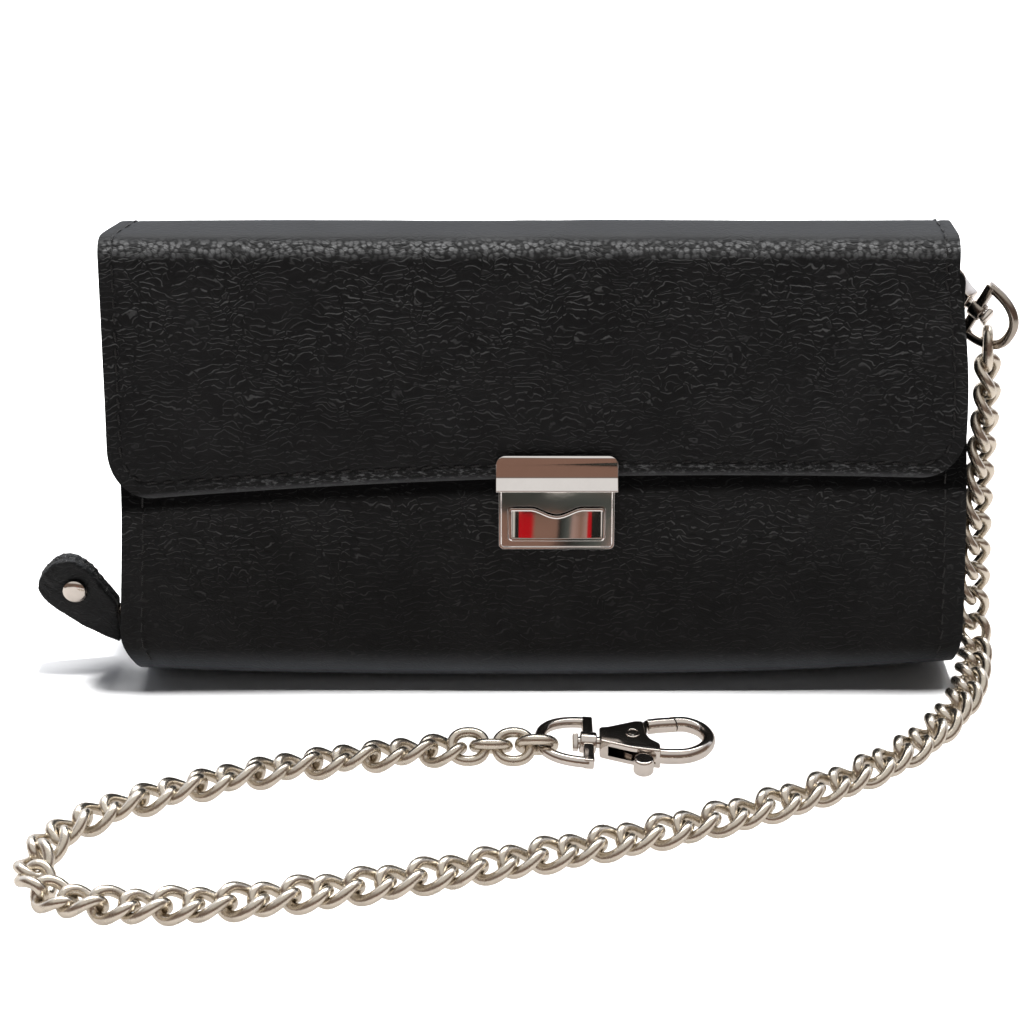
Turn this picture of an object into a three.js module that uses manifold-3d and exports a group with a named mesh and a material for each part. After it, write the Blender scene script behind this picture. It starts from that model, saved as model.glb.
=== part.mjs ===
// Waiter wallet with a push lock, a zipped inner case and a chain that ends in a trigger snap.
// Millimetres, +Z up, front towards -Y. The origin is on the floor, under the middle of the bottom.
import * as THREE from 'three';
import Module from 'manifold-3d';
import { mergeVertices } from 'three/addons/utils/BufferGeometryUtils.js';

const wasm = await Module();
wasm.setup();

const gap = 0.3;                 // clearance between neighbouring pieces
const coverLeather = 2.0;        // thickness of the cover and the flap
const innerLeather = 1.2;        // thickness of the case walls and the gussets
const degree = Math.PI / 180;

const finishes = {
  leather: { color: 0x17181a, roughness: 0.55, metalness: 0 },
  innerLeather: { color: 0x141416, roughness: 0.7, metalness: 0 },
  tape: { color: 0x101012, roughness: 0.9, metalness: 0 },
  chrome: { color: 0xd8d3cf, roughness: 0.08, metalness: 1 },
  nickel: { color: 0xcfc8bd, roughness: 0.2, metalness: 1 },
};

const wallet = new THREE.Group();

// ---------------------------------------------------------------- shared ways of making solids

// A closed body with merged corners and its faces pointing out.
function closedBody(geometry) {
  for (const name of ['normal', 'uv']) geometry.deleteAttribute(name);
  const body = mergeVertices(geometry, 1e-4);
  const corner = [0, 1, 2].map(() => new THREE.Vector3());
  const index = body.getIndex();
  let volume = 0;
  for (let i = 0; i < index.count; i += 3) {
    corner.forEach((c, k) => c.fromBufferAttribute(body.getAttribute('position'), index.getX(i + k)));
    volume += corner[0].dot(corner[1].clone().cross(corner[2]));
  }
  if (volume < 0) {
    for (let i = 0; i < index.count; i += 3) {
      const first = index.getX(i);
      index.setX(i, index.getX(i + 1));
      index.setX(i + 1, first);
    }
  }
  return body;
}

function toSolid(geometry) {
  const body = closedBody(geometry);
  return new wasm.Manifold(new wasm.Mesh({
    numProp: 3,
    vertProperties: new Float32Array(body.getAttribute('position').array),
    triVerts: new Uint32Array(body.getIndex().array),
  }));
}

// Slivers that a join leaves where two surfaces graze are dropped: the largest body is the piece.
function toGeometry(solid) {
  const largest = solid.decompose().reduce((best, body) => (body.volume() > best.volume() ? body : best));
  const mesh = largest.getMesh();
  const geometry = new THREE.BufferGeometry();
  geometry.setAttribute('position', new THREE.BufferAttribute(mesh.vertProperties, 3));
  geometry.setIndex(new THREE.BufferAttribute(mesh.triVerts, 1));
  return geometry;
}

function joined(geometries) {
  return geometries.map(toSolid).reduce((all, solid) => all.add(solid));
}

function addPiece(parent, name, geometry, finish) {
  const piece = new THREE.Mesh(geometry, new THREE.MeshStandardMaterial(finishes[finish]));
  piece.name = name;
  parent.add(piece);
  return piece;
}

// A wall of one thickness: pointAt(row, column) is its outer face, and the inner face lies behind it.
function wall(rows, columns, pointAt, thickness) {
  const outer = [];
  for (let r = 0; r < rows; r++) {
    for (let c = 0; c < columns; c++) outer.push(pointAt(r, c));
  }
  const at = (r, c) => outer[Math.min(Math.max(r, 0), rows - 1) * columns
    + Math.min(Math.max(c, 0), columns - 1)];
  const inner = outer.map((point, i) => {
    const r = Math.floor(i / columns);
    const c = i % columns;
    const along = at(r + 1, c).clone().sub(at(r - 1, c));
    const across = at(r, c + 1).clone().sub(at(r, c - 1));
    const normal = along.cross(across).normalize();
    return point.clone().addScaledVector(normal, -thickness);
  });
  const positions = [...outer, ...inner].flatMap((p) => [p.x, p.y, p.z]);
  const half = outer.length;
  const faces = [];
  const quad = (a, b, c, d) => faces.push(a, b, c, a, c, d);
  const id = (r, c) => r * columns + c;
  for (let r = 0; r < rows - 1; r++) {
    for (let c = 0; c < columns - 1; c++) {
      quad(id(r, c), id(r, c + 1), id(r + 1, c + 1), id(r + 1, c));
      quad(half + id(r, c), half + id(r + 1, c), half + id(r + 1, c + 1), half + id(r, c + 1));
    }
    quad(id(r, 0), id(r + 1, 0), half + id(r + 1, 0), half + id(r, 0));
    const last = columns - 1;
    quad(id(r, last), half + id(r, last), half + id(r + 1, last), id(r + 1, last));
  }
  for (let c = 0; c < columns - 1; c++) {
    quad(id(0, c), half + id(0, c), half + id(0, c + 1), id(0, c + 1));
    const end = rows - 1;
    quad(id(end, c), id(end, c + 1), half + id(end, c + 1), half + id(end, c));
  }
  const geometry = new THREE.BufferGeometry();
  geometry.setAttribute('position', new THREE.Float32BufferAttribute(positions, 3));
  geometry.setIndex(faces);
  return closedBody(geometry);
}

// Points of a polyline whose inner corners are rounded: rows are [y, z, radius].
function roundedLine(corners, arcSteps, straightSteps) {
  const points = [new THREE.Vector2(corners[0][0], corners[0][1])];
  const lineTo = (end) => {
    const start = points[points.length - 1];
    for (let i = 1; i <= straightSteps; i++) points.push(start.clone().lerp(end, i / straightSteps));
  };
  for (let k = 1; k < corners.length - 1; k++) {
    const corner = new THREE.Vector2(corners[k][0], corners[k][1]);
    const before = new THREE.Vector2(corners[k - 1][0], corners[k - 1][1]).sub(corner).normalize();
    const after = new THREE.Vector2(corners[k + 1][0], corners[k + 1][1]).sub(corner).normalize();
    const halfAngle = Math.acos(before.dot(after)) / 2;
    const radius = corners[k][2];
    const centre = corner.clone().addScaledVector(
      before.clone().add(after).normalize(), radius / Math.sin(halfAngle));
    const from = corner.clone().addScaledVector(before, radius / Math.tan(halfAngle));
    const to = corner.clone().addScaledVector(after, radius / Math.tan(halfAngle));
    lineTo(from);
    const turn = Math.PI - 2 * halfAngle;
    const side = Math.sign(from.clone().sub(centre).cross(to.clone().sub(centre)));
    for (let i = 1; i <= arcSteps; i++) {
      points.push(from.clone().rotateAround(centre, side * turn * i / arcSteps));
    }
  }
  const last = corners[corners.length - 1];
  lineTo(new THREE.Vector2(last[0], last[1]));
  return points;
}

// Columns between two side edges, set closer at the edges so that corners of this radius come out round.
function columnPlaces(middleColumns, cornerSteps) {
  const places = [];
  for (let i = 0; i < cornerSteps; i++) places.push({ side: -1, inset: 1 - Math.cos(i / cornerSteps * Math.PI / 2) });
  for (let i = 0; i <= middleColumns; i++) places.push({ side: 0, share: i / middleColumns });
  for (let i = cornerSteps - 1; i >= 0; i--) places.push({ side: 1, inset: 1 - Math.cos(i / cornerSteps * Math.PI / 2) });
  return places;
}

function columnX(place, left, right, radius) {
  if (place.side < 0) return left + radius * place.inset;
  if (place.side > 0) return right - radius * place.inset;
  return left + radius + (right - left - 2 * radius) * place.share;
}

// How far a rounded corner lifts the edge at a distance from the side.
function cornerLift(distance, radius) {
  const inside = Math.max(radius - distance, 0);
  return radius - Math.sqrt(Math.max(radius * radius - inside * inside, 0));
}

function smooth(value, from, to) {
  return THREE.MathUtils.smoothstep(value, from, to);
}

// ---------------------------------------------------------------- cover: front, bottom and back

const cover = {
  left: -90.5,
  right: 91.1,
  leftSpread: 1.8,         // the left edge spreads this far towards the floor
  rightDraw: 3.7,          // the right edge draws in this far at the top of the front
  backDraw: 1.7,           // and the back draws in further at its upper right corner
  frontFoot: -20.5,        // where the front face would meet the floor
  backFoot: 19.4,
  frontLean: 14,           // degrees, the front leans back
  backLean: 2.8,
  frontFold: 6.5,          // radius of the fold between front and bottom
  backFold: 6,
  frontTop: 82,
  backTop: 91,
  footInset: 3.5,          // the lower left corner is drawn in
  liftRight: 3.1,          // the front fold leaves the floor towards both ends
  liftLeft: 1.7,
};

const frontY = (z) => cover.frontFoot + z * Math.tan(cover.frontLean * degree);
const backY = (z) => cover.backFoot - z * Math.tan(cover.backLean * degree);

function coverSides(y, z) {
  const foot = 1 - smooth(z, 0, 11);
  const atBack = y > 0 ? smooth(z, 40, cover.backTop) : 0;
  return {
    left: cover.left - cover.leftSpread * (1 - smooth(z, 4, 46)) + cover.footInset * foot,
    right: cover.right - cover.rightDraw * (z / cover.frontTop) ** 2 - cover.backDraw * atBack
      - 0.35 * cover.footInset * foot,
  };
}

function footLift(x, y, z) {
  const atEnd = x > 0 ? cover.liftRight * (x / 89) ** 2.2 : cover.liftLeft * (-x / 90) ** 3;
  return atEnd * smooth(-y, 1, 13) * (1 - smooth(z, 3, 24));
}

function makeCover() {
  const line = roundedLine([
    [frontY(cover.frontTop), cover.frontTop],
    [cover.frontFoot, 0, cover.frontFold],
    [cover.backFoot, 0, cover.backFold],
    [backY(cover.backTop), cover.backTop],
  ], 4, 4);
  const cornerRadius = 3;
  const places = columnPlaces(6, 2);
  const pointAt = (r, c) => {
    const { x: y, y: z } = line[r];
    const sides = coverSides(y, z);
    const x = columnX(places[c], sides.left, sides.right, cornerRadius);
    const fromMiddle = (x - (sides.left + sides.right) / 2) / (sides.right - sides.left) * 2;
    const belly = y < 0 ? 0.9 * (1 - fromMiddle ** 2) * smooth(z, 2, 12) * (1 - smooth(z, 14, 29)) : 0;
    const lift = footLift(x, y, z);
    return new THREE.Vector3(x, y - belly + lift * Math.tan(cover.frontLean * degree), z + lift);
  };
  return wall(line.length, places.length, pointAt, coverLeather);
}

addPiece(wallet, 'outer_cover', makeCover(), 'leather');

// ---------------------------------------------------------------- flap: over the top and down the front

const flap = {
  left: -92.4,
  rightTop: 85.4,
  right: 88.7,
  standOff: 2.6,           // outer face in front of the front panel
  topHeight: 96.6,
  frontBend: 5,
  backBend: 6,
  backEnd: 77,             // where it is sewn on the back
  cornerRadius: 9.5,
  topInset: 3.6,           // its sides draw in towards the back of the top
  flare: 1.1,              // the lower corners stand off further than the middle
};

const flapFrontY = (z) => frontY(z) - flap.standOff;

// The lower edge hangs lower at the left than at the right.
function flapEdgeHeight(x) {
  return 47.8 + 0.0257 * x - 0.00026 * x * x;
}

function makeFlap() {
  const backFace = (z) => backY(z) + gap + coverLeather;
  const bendStart = flap.topHeight - 8;
  const line = roundedLine([
    [backFace(flap.backEnd), flap.backEnd],
    [backFace(flap.topHeight), flap.topHeight, flap.backBend],
    [flapFrontY(flap.topHeight), flap.topHeight, flap.frontBend],
    [flapFrontY(bendStart), bendStart],
  ], 4, 1);
  const fallSteps = 5;
  const places = columnPlaces(6, 3);
  const rows = line.length + fallSteps;
  const pointAt = (r, c) => {
    const fallen = Math.max(r - line.length + 1, 0) / fallSteps;
    const section = line[Math.min(r, line.length - 1)];
    const startHeight = section.y;
    const overTop = fallen > 0 ? 0 : smooth(section.x, flapFrontY(flap.topHeight) + 1, backY(90));
    const left = flap.left + flap.topInset * overTop;
    const widened = 1 - (1 - Math.min(fallen / 0.7, 1)) ** 2;
    const right = THREE.MathUtils.lerp(flap.rightTop, flap.right, widened) - 0.4 * overTop;
    const x = columnX(places[c], left, right, flap.cornerRadius);
    const distance = Math.min(x - left, right - x);
    const edge = flapEdgeHeight(x) + cornerLift(distance, flap.cornerRadius);
    const z = fallen > 0 ? THREE.MathUtils.lerp(startHeight, edge, fallen) : section.y;
    const y = fallen > 0 ? flapFrontY(z) - flap.flare * fallen ** 2 * (x / flap.right) ** 2 : section.x;
    return new THREE.Vector3(x, y, z);
  };
  return wall(rows, places.length, pointAt, coverLeather);
}

addPiece(wallet, 'flap', makeFlap(), 'leather');

// ---------------------------------------------------------------- zipped case between front and back

const zipCase = {
  left: -90.2,
  right: 88,
  depth: 7,
  height: 84.4,
  lean: 11.9,
  cornerRadius: 3,
  footRadius: 4,
};
const caseFrame = new THREE.Group();
caseFrame.position.set(0, -9.77, coverLeather + gap + 3.1);
caseFrame.rotation.x = -zipCase.lean * degree;
wallet.add(caseFrame);

function makeCase() {
  const half = zipCase.depth / 2;
  const line = roundedLine([
    [-half, zipCase.height], [-half, 0, half - 0.02], [half, 0, half - 0.02], [half, zipCase.height],
  ], 3, 1);
  const places = columnPlaces(4, 3);
  const pointAt = (r, c) => {
    const { x: y, y: height } = line[r];
    const x = columnX(places[c], zipCase.left, zipCase.right, zipCase.cornerRadius);
    const distance = Math.min(x - zipCase.left, zipCase.right - x);
    const atTop = r === 0 || r === line.length - 1;
    return new THREE.Vector3(x, y, atTop ? height - cornerLift(distance, zipCase.cornerRadius) : height);
  };
  return wall(line.length, places.length, pointAt, innerLeather);
}

addPiece(caseFrame, 'zip_case', makeCase(), 'innerLeather');

// The zip runs up the left edge, along the top and down the right edge, between the case walls.
const zip = { band: 3.8, bandThickness: 1, teeth: 1.4, teethStand: 1.1, inset: 1.6, start: 3 };

function zipLoop(outset) {
  const left = zipCase.left + zip.inset - outset;
  const right = zipCase.right - zip.inset + outset;
  const top = zipCase.height - zip.inset + outset;
  return roundedLine([
    [left, zip.start], [left, top, zipCase.cornerRadius - zip.inset + outset],
    [right, top, zipCase.cornerRadius - zip.inset + outset], [right, zip.start],
  ], 5, 1);
}

function bandSolid(inner, outer, width) {
  const shape = new THREE.Shape([...outer, ...[...inner].reverse()]);
  const geometry = new THREE.ExtrudeGeometry(shape, { depth: width, bevelEnabled: false, steps: 1 });
  geometry.rotateX(Math.PI / 2);
  geometry.translate(0, width / 2, 0);
  return geometry;
}

addPiece(caseFrame, 'zip_tape', toGeometry(joined([
  bandSolid(zipLoop(0), zipLoop(zip.bandThickness), zip.band),
  bandSolid(zipLoop(0.4), zipLoop(zip.bandThickness + zip.teethStand), zip.teeth),
])), 'tape');

// Slider at the closed end of the zip, low on the left.
const slider = { length: 8, width: 4.4, stand: 1.6, height: 8 };

function makeSlider() {
  const crest = zipCase.left + zip.inset - zip.bandThickness - zip.teethStand;
  const plate = new THREE.BoxGeometry(slider.stand, slider.width, slider.length);
  plate.translate(crest - gap - slider.stand / 2, 0, slider.height);
  const lug = new THREE.BoxGeometry(1.4, 1.6, 3.2);
  lug.translate(crest - gap - slider.stand - 0.5, 0, slider.height);
  return toGeometry(joined([plate, lug]));
}

addPiece(caseFrame, 'zip_slider', makeSlider(), 'nickel');

// ---------------------------------------------------------------- leather pull with its rivet

const pull = {
  y: -7.4,                 // middle of its thickness
  thickness: 4.2,
  rivet: { x: -102.9, z: 18.8, radius: 2.7, head: 0.9, shank: 1.2 },
};
// Outline of the pull seen from the front, from its root round the tip.
const pullOutline = [
  [-94.1, 5.4], [-97.4, 6.9], [-101.4, 9.2], [-105.3, 12.1], [-109, 15.3], [-110.8, 18.4], [-110.6, 21.4],
  [-108.6, 24], [-106.3, 25.7], [-104.2, 26.2], [-101.8, 25.5], [-99.3, 23.4], [-96.8, 19.2], [-94.1, 15.2],
];

function makePull() {
  const shape = new THREE.Shape(pullOutline.map(([x, z]) => new THREE.Vector2(x, z)));
  const strap = new THREE.ExtrudeGeometry(shape, {
    depth: pull.thickness - 1.2, bevelEnabled: true, bevelThickness: 0.6, bevelSize: 0.6, bevelOffset: -0.6,
    bevelSegments: 1, steps: 1,
  });
  strap.rotateX(Math.PI / 2);
  strap.translate(0, pull.y + pull.thickness / 2 - 0.6, 0);
  const hole = new THREE.CylinderGeometry(pull.rivet.shank + gap, pull.rivet.shank + gap, 3 * pull.thickness, 8);
  hole.translate(pull.rivet.x, pull.y, pull.rivet.z);
  return toGeometry(toSolid(strap).subtract(toSolid(hole)));
}

function makePullRivet() {
  const { radius, head, shank } = pull.rivet;
  const back = pull.thickness / 2 + gap;
  const profile = [
    [0, -back - 0.5], [radius * 0.9, -back - 0.5], [radius * 0.9, -back], [shank, -back],
    [shank, back], [radius, back], [radius * 0.82, back + head * 0.7], [radius * 0.4, back + head], [0, back + head],
  ].map(([r, h]) => new THREE.Vector2(r, h));
  const rivet = new THREE.LatheGeometry(profile, 12);
  rivet.rotateX(Math.PI);
  rivet.translate(pull.rivet.x, pull.y, pull.rivet.z);
  return closedBody(rivet);
}

addPiece(wallet, 'pull_tab', makePull(), 'leather');
addPiece(wallet, 'pull_rivet', makePullRivet(), 'nickel');

// ---------------------------------------------------------------- gussets at both sides

const caseFaceY = (side, z) => caseFrame.position.y + side * zipCase.depth / 2 / Math.cos(zipCase.lean * degree)
  + (z - caseFrame.position.z) * Math.tan(zipCase.lean * degree);

// A strip of constant width folded inwards once: the fold is deep where the sides are close.
const gusset = { halfWidth: 12.6, foot: 9, top: 76, inset: 2.2, edgeGap: 1.6 };

function makeGusset(side) {
  const rows = 5;
  const pointAt = (r, c) => {
    const z = gusset.foot + (gusset.top - gusset.foot) * r / (rows - 1);
    const front = caseFaceY(1, z) + gusset.edgeGap;
    const backInner = backY(z) - coverLeather - gusset.edgeGap;
    const half = (backInner - front) / 2;
    const depth = Math.sqrt(gusset.halfWidth ** 2 - half ** 2);
    const sides = coverSides(1, z);
    const edge = side < 0 ? sides.left + gusset.inset : sides.right - gusset.inset;
    const share = [0, 0.5, 1, 0.5, 0][c];
    const y = front + (backInner - front) * [0, 0.25, 0.5, 0.75, 1][c];
    return new THREE.Vector3(edge - side * depth * share, y, z);
  };
  return wall(rows, 5, pointAt, -side * innerLeather);
}

addPiece(wallet, 'gusset_left', makeGusset(-1), 'innerLeather');
addPiece(wallet, 'gusset_right', makeGusset(1), 'innerLeather');

// Narrow strips that close the pocket between the front panel and the case.
function makePocketSide(side) {
  const foot = 12;
  const top = 58;
  const line = [foot, top, top, foot].map((z, i) => new THREE.Vector2(
    i < 2 ? frontY(z) + coverLeather / Math.cos(cover.frontLean * degree) + gap + 0.15 : caseFaceY(-1, z) - gap, z));
  const geometry = new THREE.ExtrudeGeometry(new THREE.Shape(line), { depth: innerLeather, bevelEnabled: false });
  geometry.rotateY(Math.PI / 2);
  geometry.rotateX(Math.PI / 2);
  const edge = side < 0 ? cover.left + 4 : cover.right - 4 - innerLeather;
  geometry.translate(edge, 0, 0);
  return closedBody(geometry);
}

addPiece(wallet, 'pocket_side_left', makePocketSide(-1), 'innerLeather');
addPiece(wallet, 'pocket_side_right', makePocketSide(1), 'innerLeather');

// ---------------------------------------------------------------- push lock on the front

const lock = {
  x: 2.6,
  foot: 31,                // height of its lower edge above the floor
  face: 2.5,               // front of the base plate, in front of the panel
  seat: 0.3,
  width: 24.6,
  baseTop: 15.4,
  cornerRadius: 1.1,
  flapPlate: { width: 25.8, from: 11.75, to: 21.1, back: 2.86, thickness: 1.3, lip: 1.5, cornerRadius: 2 },
  tongue: { width: 7, height: 1.5, depth: 1.7, at: 12.6 },
  button: {
    width: 20.4, foot: 1.9, height: 7.7, dip: 1.5, dipWidth: 9.5, front: 3.4, back: 2.0, rim: 0.7, rimDepth: 0.5,
  },
  recessFloor: 0.8,
};
const lockFrame = new THREE.Group();
lockFrame.position.set(lock.x, frontY(lock.foot), lock.foot);
lockFrame.rotation.x = -cover.frontLean * degree;
wallet.add(lockFrame);

function roundedRectangle(left, foot, right, top, radius) {
  const shape = new THREE.Shape();
  shape.absarc(right - radius, top - radius, radius, 0, Math.PI / 2);
  shape.absarc(left + radius, top - radius, radius, Math.PI / 2, Math.PI);
  shape.absarc(left + radius, foot + radius, radius, Math.PI, 1.5 * Math.PI);
  shape.absarc(right - radius, foot + radius, radius, 1.5 * Math.PI, 2 * Math.PI);
  return shape;
}

// An outline in the lock's plane, standing between two distances in front of the panel.
function plateGeometry(shape, back, front, curveSegments = 3) {
  const geometry = new THREE.ExtrudeGeometry(shape, { depth: front - back, bevelEnabled: false, curveSegments });
  geometry.rotateX(Math.PI / 2);
  geometry.translate(0, -back, 0);
  return geometry;
}

function buttonShape(grow) {
  const { width, foot, height, dip, dipWidth } = lock.button;
  const half = width / 2 + grow;
  const top = foot + height + grow;
  const shape = new THREE.Shape();
  shape.moveTo(-half, foot - grow);
  shape.lineTo(half, foot - grow);
  shape.lineTo(half, top);
  const steps = 8;
  for (let i = 0; i <= steps; i++) {
    const x = dipWidth / 2 - dipWidth * i / steps;
    shape.lineTo(x, top - dip * (0.5 + 0.5 * Math.cos(2 * Math.PI * x / dipWidth)));
  }
  shape.lineTo(-half, top);
  return shape;
}

function makeLockBase() {
  const half = lock.width / 2;
  const plate = plateGeometry(roundedRectangle(-half, 0, half, lock.baseTop, lock.cornerRadius), lock.seat, lock.face);
  const recess = plateGeometry(buttonShape(0.35), lock.recessFloor, lock.face + 1);
  const { width, height, depth, at } = lock.tongue;
  const slot = plateGeometry(roundedRectangle(
    -width / 2 - 0.35, at - 0.35, width / 2 + 0.35, at + height + 0.35, 0.3), lock.face + gap - depth - 0.35, lock.face + 1);
  return toGeometry(toSolid(plate).subtract(toSolid(recess)).subtract(toSolid(slot)));
}

function makeLockFlapPlate() {
  const { width, from, to, back, thickness, lip, cornerRadius } = lock.flapPlate;
  const section = new THREE.Shape([
    [back, to], [back + thickness, to - 0.5], [back + thickness, from + 3.2], [back + thickness + lip * 0.5, from + 1.6],
    [back + thickness + lip, from + 0.4], [back + thickness + lip * 0.9, from], [back + lip * 0.55, from],
    [back + 0.1, from + 2.2], [back, from + 3.4],
  ].map(([y, z]) => new THREE.Vector2(-y, z)));
  const bar = new THREE.ExtrudeGeometry(section, { depth: width, bevelEnabled: false });
  bar.rotateY(Math.PI / 2);
  bar.rotateX(Math.PI / 2);
  bar.translate(-width / 2, 0, 0);
  const outline = plateGeometry(roundedRectangle(-width / 2, from - 4, width / 2, to, cornerRadius), 0, 12);
  const tongue = lock.tongue;
  const catchBar = plateGeometry(roundedRectangle(
    -tongue.width / 2, tongue.at, tongue.width / 2, tongue.at + tongue.height, 0.3),
  lock.face + gap - tongue.depth, back + 0.6);
  return toGeometry(toSolid(bar).intersect(toSolid(outline)).add(toSolid(catchBar)));
}

function makeLockButton() {
  const { front, back, rimDepth, rim } = lock.button;
  const body = plateGeometry(buttonShape(0), back, front);
  const dish = plateGeometry(buttonShape(-rim), front - rimDepth, front + 1);
  return toGeometry(toSolid(body).subtract(toSolid(dish)));
}

addPiece(lockFrame, 'lock_base', makeLockBase(), 'chrome');
addPiece(lockFrame, 'lock_flap_plate', makeLockFlapPlate(), 'chrome');
addPiece(lockFrame, 'lock_button', makeLockButton(), 'chrome');

// ---------------------------------------------------------------- snaps

// Both snaps are built flat: X runs from the ring to the nose, Z is their thickness, 0 is the swivel.
const ring = { length: 12.6, width: 14.2, wire: 1.1, squareness: 2.4, barX: -2.4, boss: 2.25, bossLength: 3.4, bore: 1.5 };
const pin = { radius: 1.2, headSide: 3.4, headLength: 1.2 };
const snap = {
  thickness: 4.6,
  hookThickness: 2.8,
  wire: 1.35,
  pivot: new THREE.Vector2(6.9, 0.3),
  gateReach: 10.7,          // from the pivot to the free end of the gate
  slotHeight: 2.4,
  leverHeight: 1.8,
};

class RingCurve extends THREE.Curve {
  getPoint(t, target = new THREE.Vector3()) {
    const angle = Math.PI * (t - 0.5);
    const power = 2 / ring.squareness;
    const reach = ring.length - ring.wire + ring.barX + 1;
    const x = ring.barX - reach * Math.abs(Math.cos(angle)) ** power;
    const y = ring.width / 2 * Math.sign(Math.sin(angle)) * Math.abs(Math.sin(angle)) ** power;
    return target.set(x, y, 0);
  }
}

function circleShape(radius, sides) {
  return new THREE.Shape(Array.from({ length: sides }, (_, i) => new THREE.Vector2(
    radius * Math.cos((i + 0.5) * 2 * Math.PI / sides), radius * Math.sin((i + 0.5) * 2 * Math.PI / sides))));
}

function rod(radius, from, to, sides) {
  const geometry = new THREE.CylinderGeometry(radius, radius, to - from, sides);
  geometry.rotateZ(Math.PI / 2);
  geometry.translate((from + to) / 2, 0, 0);
  return geometry;
}

function makeRing() {
  const bow = new THREE.ExtrudeGeometry(circleShape(ring.wire * 1.05, 6), { steps: 10, extrudePath: new RingCurve() });
  const bar = new THREE.BoxGeometry(2.2, ring.width + 1.6, 2.4);
  bar.translate(ring.barX, 0, 0);
  const boss = rod(ring.boss, ring.barX - ring.bossLength / 2, ring.barX + ring.bossLength / 2, 8);
  const bore = rod(ring.bore + 0.1, -20, 20, 8);
  return toGeometry(joined([bow, bar, boss]).subtract(toSolid(bore)));
}

// Plan outline of the body: neck at the left, widening to the pivot, then running into the hook.
const bodyOutline = [
  [0, -2.4], [2, -3.2], [6.6, -5], [12.4, -6.2], [12.4, -3.4], [10.4, -1.6], [9.6, 0.4], [9.3, 4.6], [7.6, 4.7],
  [2, 2.7], [0, 2.4],
];
const slotOutline = [[1.7, -8], [1.7, -2], [2.6, 1.2], [5.4, 3.2], [7, 6], [12, 6], [12, -1.5], [11.4, -3.6], [11.4, -8]];
// Middle line of the hook, from the body round the nose to its tip.
const hookLine = [[10.6, -4.5], [14.5, -5], [18.4, -4.6], [21.6, -2.4], [22.9, 1], [21.6, 4.4], [18.6, 6.4], [15, 6.5]];

function flatSolid(outline, thickness) {
  const shape = new THREE.Shape(outline.map(([x, y]) => new THREE.Vector2(x, y)));
  const geometry = new THREE.ExtrudeGeometry(shape, { depth: thickness, bevelEnabled: false });
  geometry.translate(0, 0, -thickness / 2);
  return geometry;
}

function hookBar(points, steps) {
  const path = new THREE.CatmullRomCurve3(points.map(([x, y]) => new THREE.Vector3(x, y, 0)), false, 'centripetal');
  return new THREE.ExtrudeGeometry(circleShape(snap.wire * 1.05, 6), { steps, extrudePath: path });
}

function disc(radius, thickness, sides) {
  const geometry = new THREE.CylinderGeometry(radius, radius, thickness, sides);
  geometry.rotateX(Math.PI / 2);
  geometry.translate(snap.pivot.x, snap.pivot.y, 0);
  return geometry;
}

// Pin through the ring's boss with a square head inside the ring.
function swivelPin() {
  const headEnd = ring.barX - ring.bossLength / 2 - gap;
  const head = new THREE.BoxGeometry(pin.headLength, pin.headSide, pin.headSide);
  head.rotateX(Math.PI / 4);
  head.translate(headEnd - pin.headLength / 2, 0, 0);
  return [rod(pin.radius, headEnd - 0.4, 0.6, 8), head];
}

function makeSnapBody() {
  const body = toSolid(flatSolid(bodyOutline, snap.thickness)).subtract(toSolid(flatSolid(slotOutline, snap.slotHeight)));
  const clear = disc(snap.gateReach + gap, 20, 32);
  const tipSide = flatSolid([[9.6, 3.8], [20, 3.8], [20, 12], [9.6, 12]], 20);
  const hook = toSolid(hookBar(hookLine, 11)).subtract(toSolid(clear).intersect(toSolid(tipSide)));
  const rims = disc(1.6, snap.thickness + 0.2, 8);
  const shank = disc(0.9, snap.thickness, 8);
  const plates = body.add(toSolid(rims).subtract(toSolid(flatSolid(slotOutline, snap.slotHeight))));
  return toGeometry([hook, toSolid(shank), ...swivelPin().map(toSolid)].reduce((all, s) => all.add(s), plates));
}

// Lever: the gate on one side of the pivot, the thumb piece on the other.
function makeLever() {
  const arm = flatSolid([[5.2, -1.5], [6.8, -2.4], [7.4, -7], [10.2, -7], [9.6, -1.6], [10.2, 4.4], [10.2, 7.1],
    [8.8, 5.4], [6, 2.7], [4.6, 1.4]], snap.leverHeight);
  const gateLine = [[10.4, 5.6], [13, 6.1], [18, 6.5]];
  const gate = toSolid(hookBar(gateLine, 2)).intersect(toSolid(disc(snap.gateReach, 20, 32)));
  const thumb = new THREE.CylinderGeometry(2.1, 2.1, 3.4, 8);
  thumb.rotateX(Math.PI / 2);
  thumb.scale(1, 0.9, 1);
  thumb.translate(8.8, -7.9, 0);
  const hole = disc(0.9 + gap, 10, 8);
  return toGeometry(toSolid(arm).add(gate).add(toSolid(thumb)).subtract(toSolid(hole)));
}

// The snap on the wallet's side is hidden and plain: one piece with a closed hook.
function makePlainSnap() {
  const full = flatSolid(bodyOutline, snap.thickness - 0.6);
  const closedHook = [...hookLine, [12, 6.1], [8.6, 4.2], [6.6, 3.2]];
  return toGeometry(joined([full, hookBar(closedHook, 12), ...swivelPin()]));
}

const freeSnapFrame = new THREE.Group();
freeSnapFrame.position.set(11.2, -43.5, 2.42);
wallet.add(freeSnapFrame);
// The ring sits loosely on its pin and its bow is lifted by the last link that runs under it.
const freeRingFrame = new THREE.Group();
freeRingFrame.position.set(ring.barX, 0, 0);
freeRingFrame.rotation.y = 5 * degree;
freeSnapFrame.add(freeRingFrame);
addPiece(freeRingFrame, 'snap_ring', makeRing().translate(-ring.barX, 0, 0), 'nickel');
addPiece(freeSnapFrame, 'snap_body', makeSnapBody(), 'nickel');
addPiece(freeSnapFrame, 'snap_lever', makeLever(), 'nickel');

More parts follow.
